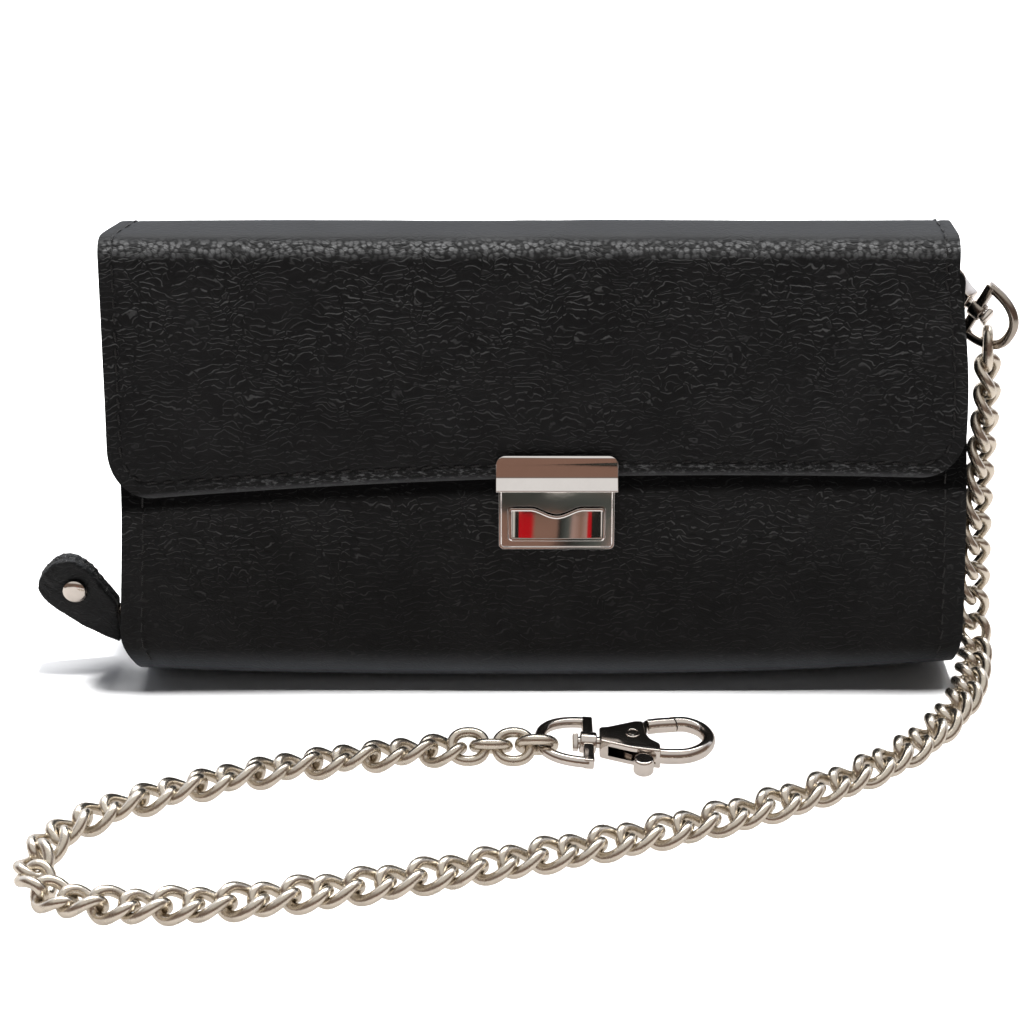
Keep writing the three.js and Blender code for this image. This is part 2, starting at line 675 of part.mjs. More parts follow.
// The wallet-side ring stands beside the wallet; its snap runs behind the back into a leather loop.
const walletSnap = {
  place: new THREE.Vector3(93.6, 14, 75.6),
  towardsRing: new THREE.Vector3(0.69, -0.594, -0.415).normalize(),
  ringAcross: new THREE.Vector3(0.3, -0.287, 0.91),
  ringScale: 0.9,           // the wallet's ring is a size smaller
};

function frameFrom(place, along, acrossHint) {
  const frame = new THREE.Group();
  const normal = along.clone().cross(acrossHint).normalize();
  const across = normal.clone().cross(along);
  frame.quaternion.setFromRotationMatrix(new THREE.Matrix4().makeBasis(along, across, normal));
  frame.position.copy(place);
  wallet.add(frame);
  return frame;
}

const towardsNose = walletSnap.towardsRing.clone().negate();
const walletRingFrame = frameFrom(
  walletSnap.place.clone().addScaledVector(towardsNose, -ring.barX), towardsNose, walletSnap.ringAcross);
const walletRing = makeRing().translate(-ring.barX, 0, 0);
walletRing.scale(walletSnap.ringScale, walletSnap.ringScale, walletSnap.ringScale).translate(ring.barX, 0, 0);
addPiece(walletRingFrame, 'wallet_snap_ring', walletRing, 'nickel');
addPiece(walletRingFrame, 'wallet_snap', makePlainSnap(), 'nickel');

// ---------------------------------------------------------------- leather loop on the back

const loop = { thickness: 1.4, height: 2.4, drop: 1.5, inner: 2.2, foot: 5, noseX: 22.9 };

function makeLoop() {
  const nose = walletRingFrame.localToWorld(new THREE.Vector3(loop.noseX, 0.8, 0));
  const foot = nose.z - loop.drop - loop.height / 2;
  const wallY = backY(foot) + gap + coverLeather + gap + 0.1;
  const outer = loop.inner + loop.thickness;
  const shape = new THREE.Shape();
  shape.moveTo(-outer - loop.foot, wallY);
  shape.lineTo(-loop.inner, wallY);
  shape.lineTo(-loop.inner, nose.y);
  shape.absarc(0, nose.y, loop.inner, Math.PI, 0, true);
  shape.lineTo(loop.inner, wallY);
  shape.lineTo(outer + loop.foot, wallY);
  shape.lineTo(outer + loop.foot, wallY + loop.thickness);
  shape.lineTo(outer, wallY + loop.thickness);
  shape.absarc(0, nose.y, outer, 0, Math.PI, false);
  shape.lineTo(-outer, wallY + loop.thickness);
  shape.lineTo(-outer - loop.foot, wallY + loop.thickness);
  const geometry = new THREE.ExtrudeGeometry(shape, { depth: loop.height, bevelEnabled: false, curveSegments: 6 });
  geometry.translate(nose.x, 0, foot);
  return closedBody(geometry);
}

wallet.updateMatrixWorld(true);
addPiece(wallet, 'side_loop', makeLoop(), 'leather');

// ---------------------------------------------------------------- chain

const link = {
  pitch: 5.93,
  halfLength: 4.1,          // middle line of the wire
  halfWidth: 2.95,
  wire: 0.97,
  squareness: 2.4,
  twist: 55 * degree,
  runHalfLength: 3.6,       // inside the joined stretches the links touch
};
const floorHeight = 2.45;   // middle of a link that lies flat

// Route of the chain's middle, chosen by hand: x, y, z and the way the links' flat side faces.
const hanging = [0.86, -0.5, 0];
const turning = [0.5, -0.85, 0.15];
const rolledForward = [0, -0.17, 0.985];
const rolledBack = [0, 0.1, 0.995];
const route = [
  { at: [96.2, 11.8, 67.4], face: hanging },
  { at: [96.4, 8.3, 58], face: hanging },
  { at: [96.1, 5.3, 43], face: [0.75, -0.65, 0] },
  { at: [96.1, 2.8, 30], face: [0.65, -0.75, 0] },
  { at: [96.4, 0.8, 18.7], face: turning },
  { at: [96.7, -0.9, 10], face: [0.2, -0.9, 0.3] },
  { at: [96.9, -3.4, 5.4], face: [0.1, -0.7, 0.7] },
  { at: [96.6, -7, 3.3], face: [0.05, -0.3, 0.95] },
  { at: [95.9, -11, 2.75], face: [0, 0, 1] },
  { at: [94.2, -17.4, floorHeight], face: [0, 0, 1] },
  { at: [91.3, -25.1, floorHeight], face: [0, 0, 1] },
  { at: [88, -31.2, floorHeight], face: [0, 0, 1] },
  { at: [81, -40.8, floorHeight], face: [0, 0, 1] },
  { at: [74.5, -47.2, 2.6], face: [0, -0.1, 0.995] },
  { at: [66, -53.8, 2.8], face: rolledForward },
  { at: [46, -65, 2.8], face: rolledForward },
  { at: [18, -75.5, 2.8], face: rolledForward },
  { at: [-12, -84.5, 2.8], face: rolledForward },
  { at: [-44, -92.4, 2.8], face: rolledForward },
  { at: [-66, -95.8, 2.8], face: rolledForward },
  { at: [-84, -95.6, 2.6], face: [0, -0.1, 0.995] },
  { at: [-94, -92.4, floorHeight], face: [0, 0, 1] },
  { at: [-98, -84.8, floorHeight], face: [0, 0, 1] },
  { at: [-96, -76.4, floorHeight], face: [0, 0, 1] },
  { at: [-88, -68, 2.6], face: [0, 0.05, 0.998] },
  { at: [-72, -59.8, 2.7], face: rolledBack },
  { at: [-50, -52.2, 2.7], face: rolledBack },
  { at: [-30, -47.9, 2.7], face: rolledBack },
  { at: [-21.4, -46.6, 2.7], face: [0, 0, 1] },
];
// The four links before the free snap are rounder plain ovals, each turned across its neighbour.
const ringLink = { halfLength: 3.5, halfWidth: 3.0 };
const ringLinks = [
  { at: [-16.05, -46, 3.15], roll: 44 },
  { at: [-11.35, -45.8, 3.1], roll: -45 },
  { at: [-6.65, -46.1, 3.2], roll: 45 },
  { at: [-1.9, -45.9, 3.55], roll: -57 },
];
// Stretches in order from the wallet: links that stand alone, and links joined into one run.
const stretches = [
  { alone: 6 }, { run: 7 }, { run: 7 }, { alone: 10 }, { run: 6 }, { alone: 10 }, { run: 8 }, { run: 6 },
  { run: 5 }, { alone: 6 },
];

class LinkCurve extends THREE.Curve {
  constructor(halfLength, halfWidth, twist) {
    super();
    Object.assign(this, { halfLength, halfWidth, twist });
  }

  getPoint(t, target = new THREE.Vector3()) {
    const cos = Math.cos(2 * Math.PI * t);
    const sin = Math.sin(2 * Math.PI * t);
    const power = 2 / link.squareness;
    const x = this.halfLength * Math.sign(cos) * Math.abs(cos) ** power;
    const y = this.halfWidth * Math.sign(sin) * Math.abs(sin) ** power;
    const turn = -this.twist * x / this.halfLength;
    return target.set(x, y * Math.cos(turn), y * Math.sin(turn));
  }
}

function linkGeometry(steps, sides, { halfLength = link.halfLength, halfWidth = link.halfWidth, twist = link.twist } = {}) {
  return new THREE.TubeGeometry(new LinkCurve(halfLength, halfWidth, twist), steps, link.wire, sides, true);
}

function frameAt(place, along, face, roll) {
  const across = face.clone().cross(along).normalize().applyAxisAngle(along, roll * degree);
  const normal = along.clone().cross(across);
  return new THREE.Matrix4().makeBasis(along, across, normal).setPosition(place);
}

// The first link hangs in the ring as a plain oval, the others are twisted and lie flat in each other.
function routeLinks() {
  const path = new THREE.CatmullRomCurve3(route.map((row) => new THREE.Vector3(...row.at)), false, 'centripetal');
  path.arcLengthDivisions = 2000;
  const count = Math.round(path.getLength() / link.pitch) + 1;
  return Array.from({ length: count }, (_, i) => {
    const share = i / (count - 1);
    const t = path.getUtoTmapping(share) * (route.length - 1);
    const row = Math.min(Math.floor(t), route.length - 2);
    const face = new THREE.Vector3(...route[row].face).lerp(new THREE.Vector3(...route[row + 1].face), t - row);
    const along = path.getTangentAt(share);
    const shape = i === 0 ? { twist: 0, halfLength: 4.2, halfWidth: 3.05 } : {};
    return { frame: frameAt(path.getPointAt(share), along, face, i === 0 ? -19 : 0), shape };
  });
}

function chainLinks() {
  const up = new THREE.Vector3(0, 0, 1);
  const last = ringLinks.map(({ at, roll }) => ({
    frame: frameAt(new THREE.Vector3(...at), new THREE.Vector3(1, 0, 0), up, roll),
    shape: { ...ringLink, twist: 0 },
  }));
  return [...routeLinks(), ...last];
}

function addChain() {
  const links = chainLinks();
  let next = 0;
  let runNumber = 0;
  const twoDigits = (number) => String(number).padStart(2, '0');
  for (const stretch of stretches) {
    const size = stretch.alone ?? stretch.run;
    const members = links.slice(next, next + size);
    if (stretch.alone) {
      members.forEach(({ frame, shape }, i) => {
        addPiece(wallet, `link_${twoDigits(next + i + 1)}`, linkGeometry(10, 5, shape), 'nickel').applyMatrix4(frame);
      });
    } else {
      runNumber += 1;
      const bodies = members.map(({ frame }, i) => {
        const atEnd = i === 0 || i === size - 1;
        const halfLength = atEnd ? link.halfLength : link.runHalfLength;
        return linkGeometry(8, 4, { halfLength }).applyMatrix4(frame);
      });
      addPiece(wallet, `chain_run_${runNumber}`, toGeometry(joined(bodies)), 'nickel');
    }
    next += size;
  }
  if (next !== links.length) throw new Error(`the stretches hold ${next} links, the chain has ${links.length}`);
}

addChain();

export default wallet;
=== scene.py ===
# Waiter wallet with a push lock, a zipped case and a link chain with two snaps.
# Pieces are modelled in millimetres in the wallet's own frame and brought to metres when they are finished.
import math
import random

import bmesh
import bpy
from mathutils import Matrix, Vector, noise


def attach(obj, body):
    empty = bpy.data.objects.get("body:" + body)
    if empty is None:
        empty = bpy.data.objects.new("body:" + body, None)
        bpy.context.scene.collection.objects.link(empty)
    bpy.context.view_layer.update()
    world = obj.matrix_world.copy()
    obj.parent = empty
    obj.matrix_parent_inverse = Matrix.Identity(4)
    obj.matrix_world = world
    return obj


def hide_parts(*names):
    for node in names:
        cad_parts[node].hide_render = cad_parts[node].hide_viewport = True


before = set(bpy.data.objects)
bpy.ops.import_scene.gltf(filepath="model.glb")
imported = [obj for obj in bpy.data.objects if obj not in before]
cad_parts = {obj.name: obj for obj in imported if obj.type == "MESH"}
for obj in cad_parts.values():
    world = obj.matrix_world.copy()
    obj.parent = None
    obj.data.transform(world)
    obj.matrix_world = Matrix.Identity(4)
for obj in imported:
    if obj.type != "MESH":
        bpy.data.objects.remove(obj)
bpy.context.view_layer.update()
mm = 0.001
degree = math.pi / 180
dice = random.Random(7)


def pick(obj):
    if bpy.context.mode != "OBJECT":
        bpy.ops.object.mode_set(mode="OBJECT")
    bpy.ops.object.select_all(action="DESELECT")
    obj.select_set(True)
    bpy.context.view_layer.objects.active = obj


def edit(obj):
    pick(obj)
    bpy.ops.object.mode_set(mode="EDIT")
    bpy.ops.mesh.select_mode(type="VERT")
    bpy.ops.mesh.select_all(action="SELECT")


def choose(obj, kind, test):
    # kind is VERT, EDGE or FACE; test gets each of them and says whether it is selected
    bpy.ops.mesh.select_mode(type=kind)
    bpy.ops.mesh.select_all(action="DESELECT")
    shape = bmesh.from_edit_mesh(obj.data)
    for part in {"VERT": shape.verts, "EDGE": shape.edges, "FACE": shape.faces}[kind]:
        part.select_set(test(part))
    shape.select_flush_mode()
    bmesh.update_edit_mesh(obj.data)


def applied(obj, kind, **settings):
    pick(obj)
    modifier = obj.modifiers.new(kind.title(), kind)
    for key, value in settings.items():
        setattr(modifier, key, value)
    bpy.ops.object.modifier_apply(modifier=modifier.name)


def fused(obj, *others, how="UNION"):
    for other in others:
        applied(obj, "BOOLEAN", object=other, operation=how, solver="EXACT")
        bpy.data.objects.remove(other)
    return obj


def cut(obj, *others):
    return fused(obj, *others, how="DIFFERENCE")


def joined(pieces):
    pick(pieces[0])
    for piece in pieces[1:]:
        piece.select_set(True)
    if len(pieces) > 1:
        bpy.ops.object.join()
    return bpy.context.object


def copied(obj, place):
    twin = obj.copy()
    twin.data = obj.data.copy()
    bpy.context.collection.objects.link(twin)
    twin.data.transform(place)
    return twin


def rounded(obj, width, segments=2, angle=35):
    applied(obj, "BEVEL", width=width, segments=segments, limit_method="ANGLE", angle_limit=angle * degree)


def tidy(obj):
    # merges doubles and turns all faces outwards
    edit(obj)
    bpy.ops.mesh.remove_doubles(threshold=0.0005)
    bpy.ops.mesh.normals_make_consistent(inside=False)
    bpy.ops.object.mode_set(mode="OBJECT")


def finishPiece(obj, name, finish, nodes=(), body="wallet", place=None, smoothAngle=38,
                flatFaces=False):
    # place brings the mesh from the piece's own frame to the wallet's; nodes are the solids that it replaces
    pick(obj)
    obj.name = name
    obj.data.name = name
    bpy.ops.object.transform_apply(location=True, rotation=True, scale=True)
    if place is not None:
        obj.data.transform(place)
    obj.data.transform(Matrix.Scale(mm, 4))
    bpy.ops.object.shade_smooth_by_angle(angle=smoothAngle * degree)
    if flatFaces:
        applied(obj, "WEIGHTED_NORMAL", keep_sharp=True, weight=80)
    obj.data.materials.clear()
    obj.data.materials.append(finish)
    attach(obj, body)
    if nodes:
        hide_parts(*nodes)


def smooth(value, low, high):
    share = min(max((value - low) / (high - low), 0), 1)
    return share * share * (3 - 2 * share)


def mix(a, b, share):
    return a + (b - a) * share


def bump(distance, width):
    return math.exp(-(distance / width) ** 2)


def waves(rows, a, b):
    # soft unevenness at a place (a, b): each row is a height, two frequencies and a seed
    level = 0
    for height, across, along, seed in rows:
        level += height * noise.noise(Vector((a * across, b * along, seed)))
    return level


def steps(start, end, size):
    count = max(round(abs(end - start) / size), 1)
    return [mix(start, end, i / count) for i in range(count)]


class Section:
    # A line of straight stretches with rounded corners: rows are (a, b, radius). at(length) walks along it.
    def __init__(self, corners, arcSteps=16):
        self.points = [Vector(corners[0][:2])]
        for before, corner, after in zip(corners, corners[1:], corners[2:]):
            middle = Vector(corner[:2])
            toBefore = (Vector(before[:2]) - middle).normalized()
            toAfter = (Vector(after[:2]) - middle).normalized()
            half = toBefore.angle(toAfter) / 2
            centre = middle + (toBefore + toAfter).normalized() * corner[2] / math.sin(half)
            start = middle + toBefore * corner[2] / math.tan(half)
            end = middle + toAfter * corner[2] / math.tan(half)
            arm = start - centre
            turn = math.pi - 2 * half
            side = 1 if arm.x * (end - centre).y - arm.y * (end - centre).x > 0 else -1
            for i in range(arcSteps + 1):
                angle = side * turn * i / arcSteps
                self.points.append(centre + Vector((
                    arm.x * math.cos(angle) - arm.y * math.sin(angle),
                    arm.x * math.sin(angle) + arm.y * math.cos(angle))))
        self.points.append(Vector(corners[-1][:2]))
        self.lengths = [0]
        for a, b in zip(self.points, self.points[1:]):
            self.lengths.append(self.lengths[-1] + (b - a).length)
        self.total = self.lengths[-1]

    def at(self, length):
        length = min(max(length, 0), self.total)
        for i in range(len(self.points) - 1):
            if length <= self.lengths[i + 1] or i == len(self.points) - 2:
                span = self.lengths[i + 1] - self.lengths[i]
                return self.points[i].lerp(self.points[i + 1], (length - self.lengths[i]) / max(span, 1e-9))


def sheetOf(rows, columns, pointAt):
    # A grid shaped row by row: pointAt(row, column) gives each corner's place.
    bpy.ops.mesh.primitive_grid_add(x_subdivisions=columns - 1, y_subdivisions=rows - 1, size=1)
    sheet = bpy.context.object
    for corner in sheet.data.vertices:
        column = round((corner.co.x + 0.5) * (columns - 1))
        row = round((corner.co.y + 0.5) * (rows - 1))
        corner.co = pointAt(row, column)
    return sheet


def frameMatrix(along, across, normal, place):
    return Matrix((
        (along.x, across.x, normal.x, place.x), (along.y, across.y, normal.y, place.y),
        (along.z, across.z, normal.z, place.z), (0, 0, 0, 1)))


class Signal:
    # One output of a node. Sums and products on it add Math nodes.
    def __init__(self, maker, socket):
        self.maker = maker
        self.socket = socket

    def math(self, operation, *values):
        return self.maker.node("ShaderNodeMath", {"operation": operation}, dict(enumerate(values)))

    def __add__(self, other):
        return self.math("ADD", self, other)

    def __radd__(self, other):
        return self.math("ADD", other, self)

    def __sub__(self, other):
        return self.math("SUBTRACT", self, other)

    def __rsub__(self, other):
        return self.math("SUBTRACT", other, self)

    def __mul__(self, other):
        return self.math("MULTIPLY", self, other)

    def __rmul__(self, other):
        return self.math("MULTIPLY", other, self)

    def band(self, low, high):
        # 0 below low, 1 above high
        return self.maker.node("ShaderNodeMapRange", {"interpolation_type": "SMOOTHSTEP"},
                               {"Value": self, "From Min": low, "From Max": high})


class NodeMaker:
    def __init__(self, tree):
        self.tree = tree

    def node(self, kind, settings=None, values=None, output=0):
        made = self.tree.nodes.new(kind)
        for key, value in (settings or {}).items():
            if key == "stops":
                ramp = made.color_ramp
                while len(ramp.elements) < len(value):
                    ramp.elements.new(0.5)
                for element, (position, colour) in zip(ramp.elements, value):
                    element.position = position
                    element.color = colour
            else:
                setattr(made, key, value)
        for key, value in (values or {}).items():
            self.plug(made.inputs[key], value)
        return Signal(self, made.outputs[output])

    def plug(self, socket, value):
        if isinstance(value, Signal):
            self.tree.links.new(value.socket, socket)
        else:
            socket.default_value = value

    def parts(self, vector):
        split = self.node("ShaderNodeSeparateXYZ", {}, {0: vector}).socket.node
        return [Signal(self, out) for out in split.outputs]

    def blend(self, share, first, second):
        return self.node("ShaderNodeMix", {"data_type": "RGBA"}, {0: share, 6: first, 7: second}, output=2)


class Finish(NodeMaker):
    def __init__(self, name, **values):
        self.material = bpy.data.materials.new(name)
        self.material.use_nodes = True
        super().__init__(self.material.node_tree)
        self.shader = self.tree.nodes["Principled BSDF"]
        self.feed(**values)

    def feed(self, **values):
        for name, value in values.items():
            words = "".join(" " + c if c.isupper() else c for c in name).strip().title()
            words = words.replace("Ior", "IOR")
            self.plug(self.shader.inputs[words], value)

    def places(self, stretch=(1, 1, 1), shift=(0, 0, 0)):
        # Object coordinates in millimetres, stretched
        raw = self.node("ShaderNodeTexCoord", output="Object")
        return self.node("ShaderNodeMapping", {}, {
            "Vector": raw, "Scale": [s / mm for s in stretch], "Location": shift})

    def shifted(self, vector, amount):
        return self.node("ShaderNodeVectorMath", {"operation": "ADD"}, {0: vector, 1: amount})

    def grown(self, vector, factor):
        return self.node("ShaderNodeVectorMath", {"operation": "SCALE"}, {0: vector, "Scale": factor})

    def noise(self, vector, scale, detail=2, roughness=0.5, output="Fac"):
        return self.node("ShaderNodeTexNoise", {}, {
            "Vector": vector, "Scale": scale, "Detail": detail, "Roughness": roughness}, output=output)

    def waves(self, vector, direction, scale, distortion):
        return self.node("ShaderNodeTexWave", {"wave_type": "BANDS", "bands_direction": direction}, {
            "Vector": vector, "Scale": scale, "Distortion": distortion})

    def cells(self, vector, scale, feature="DISTANCE_TO_EDGE", randomness=1.0):
        return self.node("ShaderNodeTexVoronoi", {"feature": feature}, {
            "Vector": vector, "Scale": scale, "Randomness": randomness})

    def relief(self, height, distance, strength=1.0):
        return self.node("ShaderNodeBump", {}, {
            "Height": height, "Distance": distance * mm, "Strength": strength})

    def dulled(self, share, colour):
        # a dull second surface takes the place of the first by a share
        dull = self.node("ShaderNodeBsdfDiffuse", {}, {"Color": colour})
        first = Signal(self, self.shader.outputs[0])
        mixed = self.node("ShaderNodeMixShader", {}, {0: share, 1: first, 2: dull})
        self.plug(self.tree.nodes["Material Output"].inputs["Surface"], mixed)


def grey(value, tint=(1, 1, 1)):
    return (value * tint[0], value * tint[1], value * tint[2], 1)


# the flap's lower edge is a shallow arch: its height is middle + slope * x + sag * x * x
edgeArch = {"middle": 47.8, "slope": 0.0257, "sag": -0.00026}
leather = {
    "base": 0.0056,
    "worn": 0.0092,
    "line": 0.092,           # colour of the highlight painted on a crease's upward side
    "roughness": 0.47,
    "specular": 0.15,
    "cell": 1.25,            # height of a grain cell
    "stretch": 0.40,         # the cells are longer along the wallet
    "creaseWidth": 0.21,
    "edgeOffset": 0.17,
    "reliefDepth": 0.16,
    "rim": (93.0, 95.4),     # heights between which the flap's front turns into its pebbled rim
    "flatTop": (94.6, 96.3),     # heights between which the rim turns into the smooth top
    "beads": 0.84,           # pebbles of the rim to a millimetre
    "paintedRuffleLight": (2.3, 2.9),    # the strip of painted highlights in a ruffled pattern ends at this distance above the flap's edge
    "paintedEdgeLight": (0.1, 1.3),    # and the painted highlight along the rim at this one
    "shaded": (-5.5, -3.2),  # the painted shadow on the panel begins this far under the flap's edge
}


def leatherFinish(name, depth=1.0, zone=None, base=1.0, roughness=0.0, creaseLightWeight=1.0, fade=(0, 1)):
    # depth and base weigh relief and colour, the crease weight the highlight painted on the creases' upward
    # sides; these fade in over the heights of fade
    finish = Finish(name)
    places = finish.places()
    x, y, z = finish.parts(places)
    drift = finish.shifted(finish.noise(places, 0.11, 2, output="Color"), (-0.5, -0.5, -0.5))
    wander = finish.shifted(finish.noise(places, 0.42, 3, output="Color"), (-0.5, -0.5, -0.5))
    bent = finish.shifted(finish.places((leather["stretch"], 1, 1)), finish.grown(drift, 6.0))
    bent = finish.shifted(bent, finish.grown(wander, 0.8))

    def grain(offset):
        edge = finish.cells(finish.shifted(bent, (0, 0, offset)), 1 / leather["cell"])
        return edge.band(0.0, leather["creaseWidth"])

    crease = grain(0)
    lit = (crease - grain(leather["edgeOffset"])).band(0.08, 0.8)       # a crease's side that faces up, where a highlight is painted
    patches = finish.noise(places, 0.10, 3, 0.6).band(0.30, 0.62)
    strength = patches * z.band(*fade)
    pebble = finish.cells(bent, 2.3 / leather["cell"]).band(0.0, 0.25)
    hair = finish.noise(places, 4.5, 3, 0.65)
    height = crease * (0.3 + 0.7 * strength) + pebble * 0.22 + hair * 0.12
    tone = finish.noise(places, 0.09, 4, 0.6)
    colour = finish.blend(tone.band(0.35, 0.75), grey(leather["base"] * base, (0.95, 1, 1.06)),
                          grey(leather["worn"] * base, (1, 1, 1.04)))
    # painted highlight on the creases, weaker on the back
    paintedCreaseLight = lit * (0.18 + 0.82 * strength) * (1 - y.band(0, 12) * 0.5) * creaseLightWeight
    if zone == "flap":
        flat = z.band(*leather["flatTop"])
        rim = (z + finish.noise(places, 0.5, 2) * 1.6).band(*leather["rim"]) * (1 - flat)
        shaken = finish.shifted(places, finish.grown(wander, 0.7))
        fromBead = finish.cells(shaken, leather["beads"], "F1", 0.75)
        dome = 1 - fromBead.band(0.28, 0.66)
        height = height * (1 - 0.8 * flat) + dome * rim * 1.5
        paintedCreaseLight = paintedCreaseLight * (1 - rim) * (1 - flat)
        colour = finish.blend(flat, colour, grey(0.004, (0.94, 1, 1.08)))
        # painted highlight: the pebbled rim of the bend is painted lighter, and lighter still on the pebbles'
        # domes
        colour = finish.blend(rim * 0.9, colour, grey(0.030))
        colour = finish.blend(rim * dome * 0.9, colour, grey(0.125))
    # the painted crease highlight goes into the colour
    colour = finish.blend(paintedCreaseLight, colour, grey(leather["line"], (1, 0.99, 0.97)))
    aboveEdge = z - (x * edgeArch["slope"] + x * x * edgeArch["sag"] + edgeArch["middle"])
    if zone == "flap":
        # painted highlights: the strip that the thread draws together under the stitches gets light patches
        # in a ruffled pattern, and its rim a light band
        paintedRuffleLight = finish.noise(finish.places((0.9, 1, 2.4), (0, 0, 40)), 0.9, 3, 0.6).band(0.50, 0.68)
        strip = (1 - aboveEdge.band(*leather["paintedRuffleLight"])) * aboveEdge.band(-2, 1)
        colour = finish.blend(paintedRuffleLight * strip * x.band(-85, -55), colour, grey(0.075))
        paintedEdgeLight = 1 - aboveEdge.band(*leather["paintedEdgeLight"])
        colour = finish.blend(paintedEdgeLight * 0.8, colour, grey(0.050, (1, 1, 1.03)))
    if zone == "panel":
        # painted reflection: the panel's foot, which turns down towards the white floor, is painted lighter
        # and bluish
        colour = finish.blend(1 - z.band(1, 10), colour, grey(0.085, (0.95, 1, 1.10)))
    rough = leather["roughness"] + roughness + 0.10 * tone
    finish.feed(baseColor=colour, roughness=rough, specularIorLevel=leather["specular"],
                normal=finish.relief(height, leather["reliefDepth"] * depth))
    if zone == "panel":
        # painted shadow: a dull, dark strip where the flap's edge shades the front
        atFront = 1 - y.band(-4, 4)
        finish.dulled(aboveEdge.band(*leather["shaded"]) * atFront * 0.8, grey(0.001))
    return finish.material


def metalFinish(name, colour, roughness, wear):
    finish = Finish(name, metallic=1.0)
    stain = finish.noise(finish.places(), 0.35, 3, 0.6)
    tone = finish.blend(stain.band(0.35, 0.8), colour, [c * (1 - wear) for c in colour[:3]] + [1])
    finish.feed(baseColor=tone, roughness=roughness + stain * stain * (wear * roughness),
                normal=finish.relief(stain * 0.5, 0.012, 0.35))
    return finish.material


def threadFinish(name):
    finish = Finish(name, roughness=0.62)
    twist = finish.waves(finish.places(), "DIAGONAL", 1.1, 1.5)
    finish.feed(baseColor=finish.blend(twist, grey(0.003), grey(0.009)), normal=finish.relief(twist, 0.08))
    return finish.material


def tapeFinish(name):
    finish = Finish(name, roughness=0.85, sheenWeight=0.2)
    places = finish.places()
    cloth = finish.waves(places, "X", 0.55, 0.4) * 0.5 + finish.waves(places, "Z", 0.55, 0.4) * 0.5
    finish.feed(baseColor=finish.blend(cloth, grey(0.004), grey(0.014)), normal=finish.relief(cloth, 0.15))
    return finish.material


def suedeFinish(name):
    finish = Finish(name, roughness=0.9, sheenWeight=0.5, sheenRoughness=0.5)
    nap = finish.noise(finish.places(), 2.4, 4, 0.7)
    finish.feed(baseColor=finish.blend(nap, grey(0.014), grey(0.085, (1, 0.98, 0.84))),
                normal=finish.relief(nap, 0.25))
    return finish.material


flapLeather = leatherFinish("flapLeather", zone="flap", fade=(40, 92))
panelLeather = leatherFinish("panelLeather", depth=0.7, zone="panel", creaseLightWeight=0.9, fade=(10, 44))
innerLeather = leatherFinish("innerLeather", depth=0.45, roughness=0.12, creaseLightWeight=0.3)
pullLeather = leatherFinish("pullLeather", depth=0.7, base=1.6, creaseLightWeight=0.3)
pullSuede = suedeFinish("pullSuede")
blackThread = threadFinish("blackThread")
zipCloth = tapeFinish("zipCloth")
lockChrome = metalFinish("lockChrome", (0.84, 0.81, 0.79, 1), 0.045, 0.03)
chainNickel = metalFinish("chainNickel", (0.66, 0.60, 0.51, 1), 0.26, 0.16)
snapNickel = metalFinish("snapNickel", (0.66, 0.61, 0.56, 1), 0.11, 0.10)
# the wallet's ring: a darker copy of the snaps' nickel, painted shade
shadedNickel = metalFinish("shadedNickel", (0.36, 0.32, 0.28, 1), 0.20, 0.10)
print("finishes made")


# sewing
stitch = {
    "pitch": 3.5, "length": 2.2, "radius": 0.22, "cap": 0.25, "arch": 0.16, "sink": 0.16,
    "tilt": 0.10, "tiltSpread": 0.08,
}


def makeStitch():
    bpy.ops.mesh.primitive_cylinder_add(vertices=6, radius=stitch["radius"],
                                        depth=stitch["length"] - 2 * stitch["cap"])
    thread = bpy.context.object
    edit(thread)
    choose(thread, "FACE", lambda face: abs(face.normal.z) > 0.9)
    bpy.ops.mesh.extrude_faces_move(TRANSFORM_OT_shrink_fatten={"value": stitch["cap"]})
    choose(thread, "VERT", lambda corner: abs(corner.co.z) > stitch["length"] / 2 - 0.1)
    bpy.ops.transform.resize(value=(0.45, 0.45, 1))
    choose(thread, "EDGE", lambda side: abs(side.verts[0].co.z - side.verts[1].co.z) > 1)
    bpy.ops.mesh.subdivide(number_cuts=2)
    bpy.ops.object.mode_set(mode="OBJECT")
    for corner in thread.data.vertices:         # arched out of the leather between its two holes
        corner.co.y += stitch["arch"] * math.cos(math.pi * corner.co.z / stitch["length"])
    return thread


stitchModel = makeStitch()


def sewRow(places, normals):
    # Stitches along a line of places, each lying on the surface
    made = []
    travelled = 0.0
    nextAt = stitch["pitch"] / 2
    for i in range(len(places) - 1):
        span = (places[i + 1] - places[i]).length
        while nextAt <= travelled + span:
            share = (nextAt - travelled) / span
            place = places[i].lerp(places[i + 1], share)
            normal = normals[i].lerp(normals[i + 1], share).normalized()
            along = (places[i + 1] - places[i]).normalized()
            across = normal.cross(along).normalized()
            tilt = Matrix.Rotation(stitch["tilt"] + stitch["tiltSpread"] * dice.uniform(-1, 1), 4, "Y")
            made.append(copied(stitchModel, frameMatrix(
                across, normal, along, place - normal * stitch["sink"]) @ tilt))
            nextAt += stitch["pitch"]
        travelled += span
    return joined(made)


